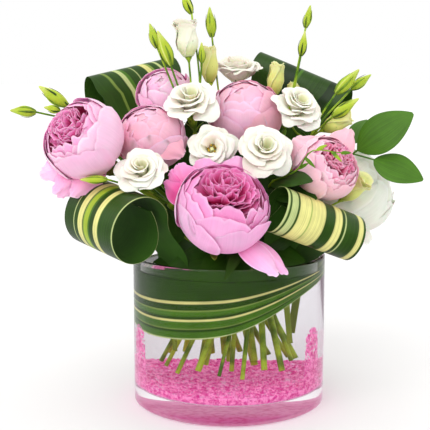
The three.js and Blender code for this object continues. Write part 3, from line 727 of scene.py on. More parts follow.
HALF_OPEN_GREEN = petal_material(
    "half_open_green", "#a3b84a", "#dbe084", "#eef0b4", "#b8c860", "#e2e890", "#e8dc88"
)
STEM = mottled_material("stem_green", "#527c10", "#b8d83a", 50.0, 0.45)
BUD = petal_material("bud_green", "#74902a", "#b4c83e", "#dfe58c", "#7f9c34", "#c6d860", "#a4bc3c")
SEPAL = mottled_material("sepal_green", "#2c4a0c", "#76962a", 70.0, 0.5)
# The hearts glow a little in their own colour: painted light in the shade inside the blooms.
HEART = mottled_material("peony_heart", "#b01560", "#e04c98", 90.0, 0.6, translucence_and_painted_glow=0.3)
CALYX_WHITE = mottled_material("bloom_heart_green", "#c6ce80", "#e6e8b4", 90.0, 0.6, translucence_and_painted_glow=0.2)
STAMEN = mottled_material("stamen_yellow", "#8a6a1c", "#d8b440", 400.0, 0.6)
# The crushed glass glows a little in its own pink: painted light that brightens the bed's shade, beside its
# real translucence.
CHIP = mottled_material(
    "crushed_glass_pink", "#dc3c96", "#ff9cd2", 220.0, 0.2, bump=0.1, shine=0.5, translucence_and_painted_glow=0.34
)
GLASS = clear_material("vase_glass", ior=1.5, shine=0.3)
WATER = clear_material("water_clear", ior=1.33, shine=0.0)
# Very dark green for the foliage leaves among and behind the blooms: partly the leaves' own green, partly
# painted shade in the gaps.
LEAF_IN_PAINTED_SHADE = leaf_material("leaf_green_in_painted_shade", "#27490d", 26.0)
RUSCUS = leaf_material("ruscus_green", "#46721a", 34.0)


# The vase, its water and its bed of crushed glass


def make_vase():
    """The vase, with a shallow dish under its base that mirrors the bed."""
    surface = Surface()
    shares = [ring / DISH_RINGS for ring in range(DISH_RINGS + 1)]
    dish = [(DISH_RADIUS * share, DISH_DEPTH * (1 - share**2) + 0.3) for share in shares]
    wall = [
        (DISH_RADIUS + 1.5, 0), (VASE_RADIUS, 0), (VASE_RADIUS, VASE_HEIGHT), (INNER_RADIUS, VASE_HEIGHT),
        (INNER_RADIUS, VASE_FLOOR), (0, VASE_FLOOR),
    ]
    shape = rounded(wall, {1: FOOT_ROUND, 2: RIM_ROUND, 3: RIM_ROUND, 4: FLOOR_ROUND}, steps=7)
    lathe(surface, [*dish, *shape], VASE_SIDES)
    surface.piece("vase_glass_body", [GLASS], "vase", crease=70.0)


def make_water():
    """The water, which laps into the glass and creeps a little up it."""
    surface = Surface()
    radius = INNER_RADIUS + WATER_LAP
    profile = [
        (0, VASE_FLOOR - WATER_LAP), (radius, VASE_FLOOR - WATER_LAP), (radius, WATER_LEVEL + 1.6),
        (radius - 1.2, WATER_LEVEL + 0.4), (radius - 4, WATER_LEVEL), (0, WATER_LEVEL),
    ]
    lathe(surface, rounded(profile, {1: FLOOR_ROUND}), VASE_SIDES)
    surface.piece("water_body", [WATER], "water", crease=40.0)


def make_chips():
    """The bed as a rough body with loose chips over its top and against the glass, and two columns of
    chips that cling to the glass."""
    surface = Surface()
    corners = len(CHIP_CORNERS)
    chance = np.random.default_rng(CHIP_SEED)
    ripple = Wobble(random.Random(RIPPLE_SEED), (0.07, 0.11, 0.19))

    def rise(x, y):
        return 0.9 * ripple(x) + 0.7 * ripple(y) - BACK_DROP * smoothstep(y, -50, 80)

    def roughen(r, h, angle):
        return r, h + np.where(h > VASE_FLOOR + 4, rise(r * np.cos(angle), r * np.sin(angle)), 0)

    profile = [(0, BED_FOOT), (BED_RADIUS - 2.6, BED_FOOT), (BED_RADIUS, VASE_FLOOR + 2.4)]
    profile += [(BED_RADIUS * ring / BED_RINGS, BED_BODY_TOP) for ring in range(BED_RINGS, -1, -1)]
    lathe(surface, profile, BED_SIDES, shape=roughen, tint=(0, 0.9, 0))

    at_glass = slice(CHIPS_ON_TOP, None)
    angle = chance.uniform(0, 2 * math.pi, CHIP_COUNT)
    out = (BED_RADIUS - 1) * np.sqrt(chance.uniform(0, 1, CHIP_COUNT))
    height = BED_BODY_TOP + rise(out * np.cos(angle), out * np.sin(angle))
    climb = chance.uniform(0, 1, CHIP_COUNT - CHIPS_ON_TOP)
    height[at_glass] = VASE_FLOOR + 1.8 + climb * (height[at_glass] - VASE_FLOOR - 2)
    size = chance.uniform(*CHIP_SIZE, (CHIP_COUNT, 1, 1))
    size[at_glass] = np.minimum(size[at_glass], CHIP_SIZE_AT_GLASS)
    jitter = chance.uniform(0.55, 1.15, (CHIP_COUNT, corners, 1))
    skew = chance.uniform(-0.35, 0.35, (CHIP_COUNT, corners, 3))
    turns, _ = np.linalg.qr(chance.normal(size=(CHIP_COUNT, 3, 3)))
    turns *= np.sign(np.linalg.det(turns))[:, None, None]
    chips = np.einsum("nij,nkj->nki", turns, (vec(*CHIP_CORNERS)[None] * jitter + skew) * size)
    reach = np.linalg.norm(chips[at_glass, :, :2], axis=2).max(axis=1)
    out[at_glass] = INNER_RADIUS - 0.4 - reach
    places = (around(out, angle, height)[:, None] + chips).reshape(-1, 3)
    places[:, 2] = np.clip(places[:, 2], VASE_FLOOR + 0.3, BED_TOP + 2.4)
    first = np.arange(CHIP_COUNT)[:, None, None] * corners
    faces = (first + np.array(CHIP_FACES)[None]).reshape(-1, 3)
    tone = np.repeat(chance.uniform(0, 1, CHIP_COUNT), corners)
    surface.add(places, [faces], np.zeros((len(places), 2)), (0, tone, 0))

    held = chips[CHIPS_ON_TOP : CHIPS_ON_TOP + CLINGING_COUNT]
    out = INNER_RADIUS - 0.5 - reach[:CLINGING_COUNT]
    held_faces = faces[: CLINGING_COUNT * len(CHIP_FACES)]
    held_tone = tone[: CLINGING_COUNT * corners]
    for column in CLINGING_TURNS:
        climb = chance.uniform(0, 1, CLINGING_COUNT) ** 1.1
        narrow = CLINGING_WIDTH * (1.15 - 0.3 * climb)
        angle = column + narrow * np.clip(chance.normal(size=CLINGING_COUNT), -1.6, 1.4)
        sunk = 1 - 0.05 * (np.abs(angle - column) / narrow) ** 2
        height = BED_TOP + climb * (CLINGING_TOP - BED_TOP) * sunk
        spots = stacked(out * np.sin(angle), -out * np.cos(angle), height)
        places = (spots[:, None] + held).reshape(-1, 3)
        surface.add(places, [held_faces], np.zeros((len(places), 2)), (0, held_tone, 0))
    surface.piece("crushed_glass_bed", [CHIP], "crushed_glass", crease=12.0)


# The leaf wrapped inside the glass

WRAP_RADIUS = INNER_RADIUS - 1.2
WRAP_LIFT = 4.2
WRAP_ANGLES = [108, 80, 46, 0, -45, -80, -120, -155, -175]
WRAP_HEIGHTS = [143, 138, 132, 116.5, 110, 109, 110, 116, 122]
WRAP_HALF_WIDTHS = [1.2, 6.5, 13.5, 28, 30.5, 27.5, 22, 10, 2.5]
WRAP_BANDS = [
    (0.0, "pale"), (0.02, "green"), (0.12, "dark"), (0.155, "dim"), (0.175, "green"), (0.28, "cream"),
    (0.315, "dark"), (0.36, "green"), (0.43, "dim"), (0.455, "dark"), (0.545, "cream"), (0.585, "dark"),
]


def make_wrap():
    """The striped leaf that lies round the inside of the glass."""
    surface = Surface()

    def point(u, v):
        angle = np.radians(along(WRAP_ANGLES, v))
        height = along(WRAP_HEIGHTS, v) + u * along(WRAP_HALF_WIDTHS, v)
        height = height + WRAP_LIFT * np.maximum(u, 0) * np.sin(math.pi * v)
        radius = WRAP_RADIUS - 0.5 * np.cos(7 * u) * smoothstep(v, 0, 0.2)
        return stacked(radius * np.sin(angle), -radius * np.cos(angle), height)

    blade(surface, point, WRAP_STEPS, LEAF_THICKNESS)
    stripes = striped_material("striped_wrap", WRAP_BANDS, shine=0.03)
    surface.piece("leaf_wrap_blade", [stripes], "leaf_wrap")


# The rolled leaves

ROLLS = {
    "leaf_roll_left": {
        "middle": (-107, -70, 190), "axis": (0.67, -0.73, -0.15), "length": 74, "radius": (35, 35),
        "foot": (-54, -49, 147), "heel": (-46, -42, 62), "foot_width": 44,
        "bands": [
            (0.0, "dark"), (0.2, "pale"), (0.215, "dark"), (0.29, "cream"), (0.385, "dark"), (0.4, "dim"),
            (0.42, "lime"), (0.5, "green"), (0.53, "dark"), (0.61, "cream"), (0.7, "green"),
            (0.715, "dark"), (0.98, "pale"),
        ],
    },
    "leaf_roll_right": {
        "middle": (79, -59, 186), "axis": (0.86, 0.36, -0.37), "length": 88, "radius": (25, 25),
        "foot": (44, -38, 150), "heel": (50, -28, 66), "foot_width": 40,
        "bands": [
            (0.0, "pale"), (0.025, "dark"), (0.05, "pale"), (0.125, "dark"), (0.15, "cream"), (0.29, "dim"),
            (0.302, "cream"), (0.475, "dark"), (0.6, "cream"), (0.69, "dark"), (0.73, "pale"),
            (0.745, "dark"), (0.91, "cream"), (0.97, "dark"),
        ],
    },
    "leaf_roll_back_left": {
        "middle": (-99, 86, 307), "axis": (0.82, 0.53, 0.2), "length": 104, "radius": (17, 30),
        "foot": (-62, 40, 150), "heel": (-52, 34, 60), "foot_width": 40, "slant": 0.9,
        "bands": [
            (0.0, "dark"), (0.1, "dim"), (0.13, "dark"), (0.24, "pale"), (0.29, "green"), (0.33, "dark"),
            (0.42, "pale"), (0.43, "dark"), (0.54, "cream"), (0.6, "dim"), (0.63, "dark"), (0.7, "pale"),
            (0.73, "dark"),
        ],
    },
    "leaf_roll_back_right": {
        "middle": (74, 84, 306), "axis": (0.83, -0.42, -0.36), "length": 110, "radius": (17, 28),
        "foot": (50, 52, 150), "heel": (42, 44, 60), "foot_width": 40,
        "bands": [
            (0.0, "dark"), (0.3, "deep"), (0.47, "green"), (0.5, "dark"), (0.8, "deep"), (0.9, "dark"),
        ],
    },
}
ROLL_START = 10.0
ROLL_TURN = 385.0
ROLL_SHRINK = 0.26
SUNK_SHARE = 0.16
RISEN_SHARE = 0.36
HEEL_HALF_WIDTH = 2.5


def make_roll(name, middle, axis, length, radius, foot, heel, foot_width, bands, slant=0.0):
    """A leaf that comes up out of the vase, turns over outwards and curls into a tube."""
    centre, foot, heel = vec(*middle), vec(*foot), vec(*heel)
    run = unit(axis)
    toward = vec(-middle[0], -middle[1], 0)
    inward = unit(toward - run * np.dot(toward, run))
    rise = np.cross(run, inward)
    flipped = rise[2] < 0
    rise = -rise if flipped else rise

    def circle(turn):
        turn = np.asarray(turn, float)[..., None]
        shrink = 1 - ROLL_SHRINK * (turn - ROLL_START) / ROLL_TURN
        angle = np.radians(turn)
        return centre + shrink * (radius[0] * np.cos(angle) * inward + radius[1] * np.sin(angle) * rise)

    start = circle(ROLL_START)
    arriving = unit(circle(ROLL_START + 1) - start)
    lead = np.linalg.norm(start - foot) * 0.4
    bends = [foot, foot + UP * lead, start - arriving * lead, start]

    def spine(v):
        sunk = mixed(heel, foot, (v / SUNK_SHARE)[:, None])
        t = np.clip((v - SUNK_SHARE) / (RISEN_SHARE - SUNK_SHARE), 0, 1)[:, None]
        risen = (1 - t) ** 3 * bends[0] + 3 * t * (1 - t) ** 2 * bends[1]
        risen = risen + 3 * t**2 * (1 - t) * bends[2] + t**3 * bends[3]
        share = np.clip((v - RISEN_SHARE) / (1 - RISEN_SHARE), 0, 1)
        rolled = circle(ROLL_START + share * ROLL_TURN)
        low = np.where((v < SUNK_SHARE)[:, None], sunk, risen)
        return np.where((v < RISEN_SHARE)[:, None], low, rolled)

    flat = unit(run * vec(1, 1, 0))

    def point(u, v):
        rolled = smoothstep(v, SUNK_SHARE + 0.05, RISEN_SHARE + 0.05)
        side = mixed(flat, run, rolled[:, None])
        side /= np.linalg.norm(side, axis=1, keepdims=True)
        sunk = np.minimum(1, v / SUNK_SHARE)
        grown = foot_width + (length - foot_width) * rolled
        heel_half = HEEL_HALF_WIDTH + (foot_width / 2 - HEEL_HALF_WIDTH) * sunk**5
        half = np.where(v < SUNK_SHARE, heel_half, grown / 2)
        tip = 1 - 0.3 * smoothstep(v, 0.85, 1)
        return spine(v) + side * (u * half * tip)[:, None]

    # One side is plain dark green all over, and the striped side is plain dark green up its riser to the
    # curl: painted shade, partly the leaf's plain underside.
    def tones(v):
        stalk = 1 - smoothstep(v, SUNK_SHARE - 0.04, SUNK_SHARE)
        riser = 1 - smoothstep(v, RISEN_SHARE - 0.08, RISEN_SHARE)
        outer, inner = np.stack([stalk, riser]), np.stack([stalk, np.ones(len(v))])
        return (outer, inner) if flipped else (inner, outer)

    surface = Surface()
    blade(surface, point, ROLL_STEPS, LEAF_THICKNESS, thin=0.4, tones=tones)
    stripes = striped_material(f"striped_{name}", bands, slant)
    surface.piece(f"{name}_blade", [stripes], name)


# The stems' waist


def slot_point(ring, slot, height):
    """Where a slot of a ring crosses a height."""
    slots, radius = RINGS[ring]
    angle = math.radians(360 * slot / slots + FIRST_SLOT)
    lean = (height - WAIST_HEIGHT) * SPIRAL * radius
    return vec(
        radius * math.sin(angle) + lean * math.cos(angle),
        -radius * math.cos(angle) + lean * math.sin(angle),
        height,
    )


def stem_path(ring, slot, cut, top, axis):
    """Places along a stem from its cut end, through its slot, up to top, which it meets along axis."""
    waist = [slot_point(ring, slot, h) for h in (WATER_LEVEL + 4, WAIST_TOP)]
    last = top - axis * np.linalg.norm(top - waist[1]) * 0.22
    foot = slot_point(ring, slot, cut)
    straight = [mixed(foot, waist[0], share) for share in (0, 0.02, 0.35, 0.7)]
    return np.concatenate([straight, catmull_rom([*waist, last, top], STEM_STEPS)])


def main_stem(surface, path, radii, sides, tone):
    """A stem, light green in the water and darker higher up among the blooms, where the darker tone is
    painted shade.
    """
    tones = tone - 0.7 * smoothstep(np.asarray(path)[:, 2], WATER_LEVEL, WAIST_HEIGHT + 30)
    tones = np.concatenate([np.repeat(tones, sides), [tone, tones[-1]]])
    tube(surface, path, radii, sides, (0, tones, 0))


def chance_of(seed):
    """A repeatable number from 0 to 1 for each seed, as the stems' cut heights use it."""
    value = math.sin(seed * 127.1 + 11.7) * 43758.5453
    return value - math.floor(value)


# Peonies

# Each layer of petals: their number, how far they lie inside the ball, how far their tips reach past the
# opening (0 in a closed bloom), their half width, the first one's turn, flare, shift, ripple, depth of
# colour, and steps
OPEN_LAYERS = [
    (5, 1.7, -3, 47, 0, 0.7, 1.2, 0.9, 0.0, BALL_STEPS),
    (5, 3.1, 6, 45, 36, 0.3, 0.9, 0.8, 0.1, BALL_STEPS),
    (6, 4.3, 13, 38, 10, 0.0, 0.8, 0.9, 0.35, BALL_STEPS),
    (7, 5.9, 20, 32, 25, -0.2, 0.9, 1.2, 0.65, INNER_BALL_STEPS),
]
CLOSED_LAYERS = [
    (5, 1.8, 124, 45, 0, 1.2, 1.3, 1.1, 0.0, BALL_STEPS),
    (5, 3.4, 142, 44, 36, 1.0, 1.2, 1.0, 0.07, BALL_STEPS),
    (5, 4.9, 159, 42, 15, 0.5, 0.9, 0.8, 0.15, BALL_STEPS),
    (4, 6.2, 176, 44, 55, 0.2, 0.7, 0.6, 0.2, BALL_STEPS),
    (4, 7.3, 194, 46, 10, 0.0, 0.7, 0.6, 0.25, INNER_BALL_STEPS),
]
HEART_MARGIN = 15
HEART_RINGS = (0.98, 0.8, 0.62, 0.45, 0.27, 0.1)
# Each sepal's turn, how far it reaches up the bloom and its half width, in degrees
PEONY_SEPALS = [(0, 43, 17), (120, 43, 17), (240, 43, 17), (60, 52, 8), (185, 52, 8)]


def ball_petal(chance, centre, radius, turn, reach, half_width, flare, shift, ripple):
    """A cupped petal on a ball, whose tip comes reach degrees up from the ball's foot."""
    short = notched(chance, 0.07)
    wave = Wobble(chance, (2.2, 3.7, 6.1))
    along_wave = Wobble(chance, (3.0, 5.0))
    out = outward(math.radians(turn))
    side = np.cross(UP, out)

    def point(u, v):
        tip = v * (1 - (0.1 * u * u + 0.14 * u**8) * v - short(u) * v**4)
        climb = np.radians(PETAL_ROOT + tip * (reach - PETAL_ROOT))
        ball = radius * (1 - 0.2 * (1 - v) ** 3) + flare * v**3 + shift * u * np.minimum(1, 3 * v)
        ball = ball + ripple * v**2 * wave(u) + 0.5 * ripple * v * along_wave(3 * v + u)
        spread = np.radians(half_width * (0.1 + 0.9 * np.sin(np.minimum(1, v * 1.3) * math.pi / 2))) * u
        ring = ball * np.cos(spread)
        places = out * (ring * np.sin(climb))[:, None] + side * (ball * np.sin(spread))[:, None]
        return places + UP * (centre - ring * np.cos(climb))[:, None]

    return point


def ruffle(chance, ring, turn, width, low, high, bow, lean):
    """A ruffled inner petal that stands on the heart, ring degrees from the bloom's axis."""
    short = notched(chance, 0.13)
    wave = Wobble(chance, (2.6, 4.9, 9.3))
    twist = chance.uniform(-0.75, 0.75)
    rho, phi = math.radians(ring), math.radians(turn)
    out = vec(math.sin(rho) * math.cos(phi), math.sin(rho) * math.sin(phi), math.cos(rho))
    level = vec(-math.sin(phi), math.cos(phi), 0)
    steep = np.cross(level, out)
    side = level * math.cos(twist) + steep * math.sin(twist)
    away = steep * math.cos(twist) - level * math.sin(twist)

    def point(u, v):
        rise = low + (high - low) * v * (1 - 0.16 * u * u * v - short(u) * v**3)
        reach = u * width / 2 * (0.35 + 0.65 * np.sin(np.minimum(1, 1.25 * v) * math.pi / 2))
        push = bow * u * u + 2.6 * v**2 * wave(1.5 * u + v) + lean * v**2
        return out * rise[:, None] + side * reach[:, None] + away * push[:, None]

    return point


def ball_layers(surface, chance, radius, opening, place, lean_to, lean, frilled):
    """The cupped petals of a bloom, whose opening leans by lean degrees towards lean_to."""
    more = 2 if frilled > 1 else 0
    centre = radius * BALL_CENTRE
    layers = OPEN_LAYERS if opening else CLOSED_LAYERS
    for count, inset, reach, half_width, first, flare, shift, ripple, depth, steps in layers:
        half_width = half_width * count / (count + more) + 2 * more
        count = count + more
        lift = (flare + 0.8) * frilled - 0.8
        for i in range(count):
            turn = first + 360 * i / count + chance.uniform(-6, 6)
            tip = opening + reach + chance.uniform(-7, 7)
            tip = tip - 0.9 * lean * math.cos(math.radians(turn - lean_to))
            wide = half_width * chance.uniform(0.9, 1.06)
            ball = radius - inset + chance.uniform(-0.4, 0.4)
            point = ball_petal(chance, centre, ball, turn, tip, wide, lift, shift, ripple * frilled)
            tint = (depth, chance.random(), 0)
            blade(surface, lambda u, v: place(point(u, v)), steps, PETAL_THICKNESS, tint)


def ruffled_heart(surface, chance, radius, opening, place, lean_to, lean):
    """The ruffled petals in an open bloom, leaning half as far as its opening does."""
    half_lean, swing = math.radians(lean / 2), math.radians(lean_to)
    tilt = turned_axes(unit((math.sin(half_lean), 0, math.cos(half_lean))))
    level = [math.cos(swing), math.sin(swing)]
    swing = np.array([[level[0], -level[1], 0], [level[1], level[0], 0], [0, 0, 1]])
    tilt = swing @ tilt @ swing.T
    middle = vec(0, 0, radius * BALL_CENTRE)
    for k, share in enumerate(HEART_RINGS):
        ring = (180 - opening - HEART_MARGIN) * share
        count = max(3, round(11 * math.sin(math.radians(ring)) + 1))
        for i in range(count):
            turn = 360 * i / count + 47 * k + chance.uniform(-14, 14)
            wide = (0.8 - 0.07 * k) * radius * chance.uniform(0.75, 1.15)
            high = radius * (0.85 + 0.03 * min(k, 3)) * chance.uniform(0.91, 1.0)
            point = ruffle(
                chance, ring + chance.uniform(-6, 6), turn, wide, 0.25 * radius, high,
                -chance.uniform(2, 6), -chance.uniform(0, 5),
            )
            tint = (chance.uniform(0.8, 1.0), chance.random(), 0)
            shape = lambda u, v: place(point(u, v) @ tilt.T + middle)
            blade(surface, shape, RUFFLE_STEPS, RUFFLE_THICKNESS, tint)


def loose_petal(surface, chance, start, end, half_width, facing, depth=0.05):
    """An outer petal that has come away from the ball, from its foot at start to its tip at end."""
    lay = laid(vec(*start), vec(*end), vec(*facing))
    wave = Wobble(chance, (2.5, 4.7))
    short = notched(chance, 0.05)

    def point(u, v):
        spread = u * half_width * (0.16 + 0.84 * np.abs(np.sin(math.pi * np.clip(v, 0, 0.93))) ** 0.7)
        reach = v * (1 - 0.1 * u * u * v - short(u) * v**4)
        sag = 4 * np.sin(math.pi * v) - 0.3 * np.abs(spread) + 0.8 * v * wave(2 * u + v)
        return lay(reach, spread, sag)

    blade(surface, point, LOOSE_STEPS, PETAL_THICKNESS, (depth, chance.random(), 0))


def make_peony(
    name, at, face, radius, look, ring, slot, opening=0, loose=(), toward=(0, 0, 1), lean=0, frilled=1.0
):
    """A bloom of cupped petals, closed or open round its ruffled heart, with its stem."""
    chance = random.Random(f"{name} petals")
    axis = unit(face)
    base = vec(*at) - axis * radius * BALL_CENTRE
    axes = turned_axes(axis, 17 * slot)
    place = placed(axes, base)
    surface = Surface()
    local = vec(*toward) @ axes
    lean_to = math.degrees(math.atan2(local[1], local[0]))
    ball_layers(surface, chance, radius, opening, place, lean_to, lean, frilled)
    if opening:
        ruffled_heart(surface, chance, radius, opening, place, lean_to, lean)
    top = 1.25 if opening else 1.3
    profile = [(0, 0), (0.3, 0.02), (0.55, 0.3), (0.6, 0.8), (0.4, top - 0.1), (0, top)]
    profile = [(r * radius, h * radius) for r, h in profile]
    bend = lambda r, h, a: (r * (1 + 0.06 * np.cos(5 * a)), h)
    lathe(surface, profile, PEONY_HEART_SIDES, (1, 0.5, 0.4), 1, bend, place)
    for petal in loose:
        loose_petal(surface, chance, *petal)
    white = look is PEONY_WHITE
    heart = CALYX_WHITE if white else HEART
    surface.piece(f"{name}_bloom", [look, heart], name)
    make_peony_stem(name, chance, base, axis, radius, place, ring, slot)


def make_peony_stem(name, chance, base, axis, radius, place, ring, slot):
    """The stem, the cup at its top and the sepals up the sides of the bloom."""
    surface = Surface()
    cut = mixed(*PEONY_STEM_CUTS, chance_of(slot + 3))
    path = stem_path(ring, slot, cut, base - axis * PEONY_STEM_END, axis)
    radii = [PEONY_STEM_RADIUS] * len(path) + [r for _, r in PEONY_CUP]
    line = np.concatenate([path, [base + axis * h for h, _ in PEONY_CUP]])
    main_stem(surface, line, radii, PEONY_STEM_SIDES, chance.uniform(0.5, 1))
    for turn, reach, width in PEONY_SEPALS:

        def point(u, v, turn=turn, reach=reach, width=width):
            climb = np.radians(5 + v * (reach - 5))
            ball = radius + 1.4 + 1.5 * v**4
            narrow = width / np.maximum(0.3, np.sin(climb)) ** 0.8
            angle = np.radians(turn + u * (1.03 - v * v) * narrow)
            return place(around(ball * np.sin(climb), angle, radius * BALL_CENTRE - ball * np.cos(climb)))

        blade(surface, point, SEPAL_STEPS, SEPAL_THICKNESS, (0, chance.random(), 0), 1)
    surface.piece(f"{name}_stem_tube", [STEM, SEPAL], f"{name}_stem")


PEONIES = {
    "peony_left": {
        "at": (-136, -60, 266), "face": (-0.45, -0.7, 0.55), "radius": 40, "look": PINK, "ring": "outer",
        "slot": 3, "opening": 122, "toward": (-1, 0, 0.2), "lean": 7,
        "loose": [
            ((-127, -46, 246), (-161, -80, 217), 17, (0.35, -0.9, 0.3)),
            ((-134, -52, 246), (-176, -72, 235), 16, (0.35, -0.9, 0.4)),
            ((-118, -50, 244), (-146, -80, 216), 13, (0.2, -0.9, 0.4), 0.3),
        ],
    },
    "peony_left_inner": {
        "at": (-75, -24, 265), "face": (-0.1, -0.65, 0.75), "radius": 35, "look": BLUSH, "ring": "inner",
        "slot": 1, "loose": [((-70, -44, 268), (-43, -52, 251), 15, (0.2, -0.9, 0.4), 0.1)],
    },
    "peony_back_left": {
        "at": (-64, 24, 306), "face": (-0.2, -0.65, 0.72), "radius": 29, "look": PINK, "ring": "inner",
        "slot": 0,
    },
    "peony_centre": {
        "at": (16, 10, 286), "face": (-0.1, -0.6, 0.79), "radius": 38, "look": BLUSH, "ring": "inner",
        "slot": 5,
    },
    "peony_front": {
        "at": (-7, -88, 206), "face": (0.16, -0.7, 0.68), "radius": 45, "look": LILAC, "ring": "outer",
        "slot": 5, "opening": 112, "toward": (0.45, 0, 1), "lean": 11,
        "loose": [
            ((6, -80, 178), (42, -114, 149), 13, (0.2, -0.8, 0.6)),
            ((12, -78, 178), (52, -104, 148), 11, (0.5, -0.8, 0.4)),
            ((2, -62, 222), (10, -62, 251), 18, (0, -1, 0.3)),
            ((-20, -66, 222), (-26, -66, 250), 17, (-0.1, -1, 0.3), 0.2),
            ((-32, -76, 216), (-48, -76, 246), 14, (-0.2, -1, 0.2), 0.5),
            ((-36, -80, 208), (-60, -78, 230), 11, (-0.3, -0.9, 0.3), 0.9),
            ((-38, -76, 214), (-55, -74, 240), 10, (0.2, -0.9, 0.3), 0.8),
        ],
    },
    "peony_right": {
        "at": (91, -42, 238), "face": (0.42, -0.77, 0.47), "radius": 33, "look": ROSE, "ring": "outer",
        "slot": 9, "opening": 122, "toward": (0.8, 0, 0.7), "lean": 12,
        "loose": [
            ((98, -30, 246), (118, -20, 275), 14, (0.1, -0.9, 0.3)),
            ((86, -42, 242), (60, -47, 267), 17, (0, -1, 0.2)),
        ],
    },
    "peony_white": {
        "at": (125, 42, 206), "face": (0.75, 0.1, 0.65), "radius": 47, "look": PEONY_WHITE, "ring": "outer",
        "slot": 12, "frilled": 2.0, "loose": [((112, 36, 190), (147, 32, 154), 21, (0.4, -0.85, 0.2))],
    },
    "peony_rear_left": {
        "at": (-28, 102, 224), "face": (-0.15, 0.85, 0.5), "radius": 34, "look": PINK, "ring": "outer",
        "slot": 15,
    },
    "peony_rear_right": {
        "at": (43, 106, 226), "face": (0.5, 0.78, 0.4), "radius": 35, "look": ROSE, "ring": "outer",
        "slot": 13, "opening": 122,
    },
}


# Lisianthus

# Each bloom's middle, the way it faces and its radius
LISIANTHUS = {
    "lisianthus_upper_left": ((-37, -29, 302), (0, -0.62, 0.78), 26),
    "lisianthus_lower_left": ((-80, -82, 241), (-0.1, -0.75, 0.65), 23),
    "lisianthus_middle_left": ((-17, -50, 258), (-0.05, -0.92, 0.38), 23),
    "lisianthus_middle_right": ((33, -64, 258), (0.1, -0.83, 0.55), 26),
    "lisianthus_right": ((67, -14, 296), (0.35, -0.62, 0.7), 26),
    "lisianthus_top": ((9, 60, 332), (0, -0.25, 0.97), 24),
    "lisianthus_rear": ((0, 108, 270), (0, 0.7, 0.7), 25),
    "lisianthus_side": ((-134, 34, 236), (-0.8, 0.25, 0.5), 26),
}
OPEN_HEARTED = {"lisianthus_middle_left", "lisianthus_side"}
STAMEN_COUNT = 7
STAMEN_SIDES = 6
CUPPED = {"lisianthus_top"}
CUPPED_HEIGHT = 0.86
CUPPED_SHARE = 0.85
CUPPED_UNCURL = 2.0
CUPPED_POINT = 0.4
CUPPED_SPREAD = 0.55
OPEN_SPREAD = 1.15
# Each layer of petals: their number, reach and height as shares of the radius, curl, half width, the first
# one's turn, shift, ruffles, how pointed they are, and depth of colour
CUP_LAYERS = [
    (5, 1.16, 0.6, 4.5, 52, 0, 1.8, 3.8, 0.26, 0.0),
    (4, 0.98, 0.76, 3.2, 58, 33, 1.6, 3.2, 0.22, 0.05),
    (3, 0.74, 0.9, 1.4, 70, 5, 1.4, 2.2, 0.14, 0.15),
    (3, 0.56, 0.98, -0.2, 72, 60, 1.3, 1.4, 0.1, 0.3),
    (3, 0.41, 1.0, -1.0, 74, 5, 1.2, 0.7, 0.08, 0.5),
    (2, 0.27, 0.96, -1.0, 100, 50, 0.9, 0.4, 0.08, 0.8),
]


def lisianthus_base(name):
    at, face, radius = LISIANTHUS[name]
    return vec(*at) - unit(face) * radius * CUP_DEPTH


def cup_petal(chance, turn, reach, height, curl, half_width, shift, ruffled, pointed, spread):
    """A flaring petal from the base of its cup out to its wavy rim."""
    short = notched(chance, 0.05)
    wave = Wobble(chance, (2.0, 3.6, 6.4))
    other = Wobble(chance, (2.1, 4.3))

    def point(u, v):
        wide = 0.12 + 0.88 * np.minimum(1, 3 * v) * (0.55 + 0.45 * np.sin(v * 2.2))
        lift = shift * u * np.minimum(1, 2 * v)
        tip = v * (1 - pointed * np.abs(u) ** 1.25 * v - short(u) * v**4)
        out = 2.5 + (reach - 2.5) * tip**spread - lift + 0.6 * ruffled * v**3 * other(u)
        up = 1.5 + height * np.sin(tip * 1.7) - curl * tip**4 - 1.5 * u * u * v + lift
        up = up + ruffled * v**3 * wave(1.4 * u)
        return around(out, np.radians(turn + u * half_width * wide), up)

    return point


def stamens(surface, place, radius, chance):
    """A ring of stamens round a short green style."""
    style = [vec(0, 0, 4), vec(0, 0, 0.3 * radius), vec(0, 0, 0.5 * radius), vec(0, 0, 0.56 * radius)]
    tube(surface, place(np.array(style)), [1.6, 1.2, 1.1, 1.9], BRANCH_SIDES, (0, 0.9, 0), 1)
    for i in range(STAMEN_COUNT):
        way = outward(2 * math.pi * i / STAMEN_COUNT + chance.uniform(-0.2, 0.2))
        top = way * chance.uniform(3.2, 4.6) + UP * radius * chance.uniform(0.42, 0.52)
        path = catmull_rom([way * 1.2 + UP * 3, way * 2.6 + UP * radius * 0.25, top], 6)
        head = [top + UP * h for h in (0.4, 1.4, 2.6, 3.2)]
        radii = [0.35] * len(path) + [0.9, 1.25, 0.9, 0.3]
        tube(surface, place(np.concatenate([path, head])), radii, STAMEN_SIDES, (0, chance.random(), 0), 2)


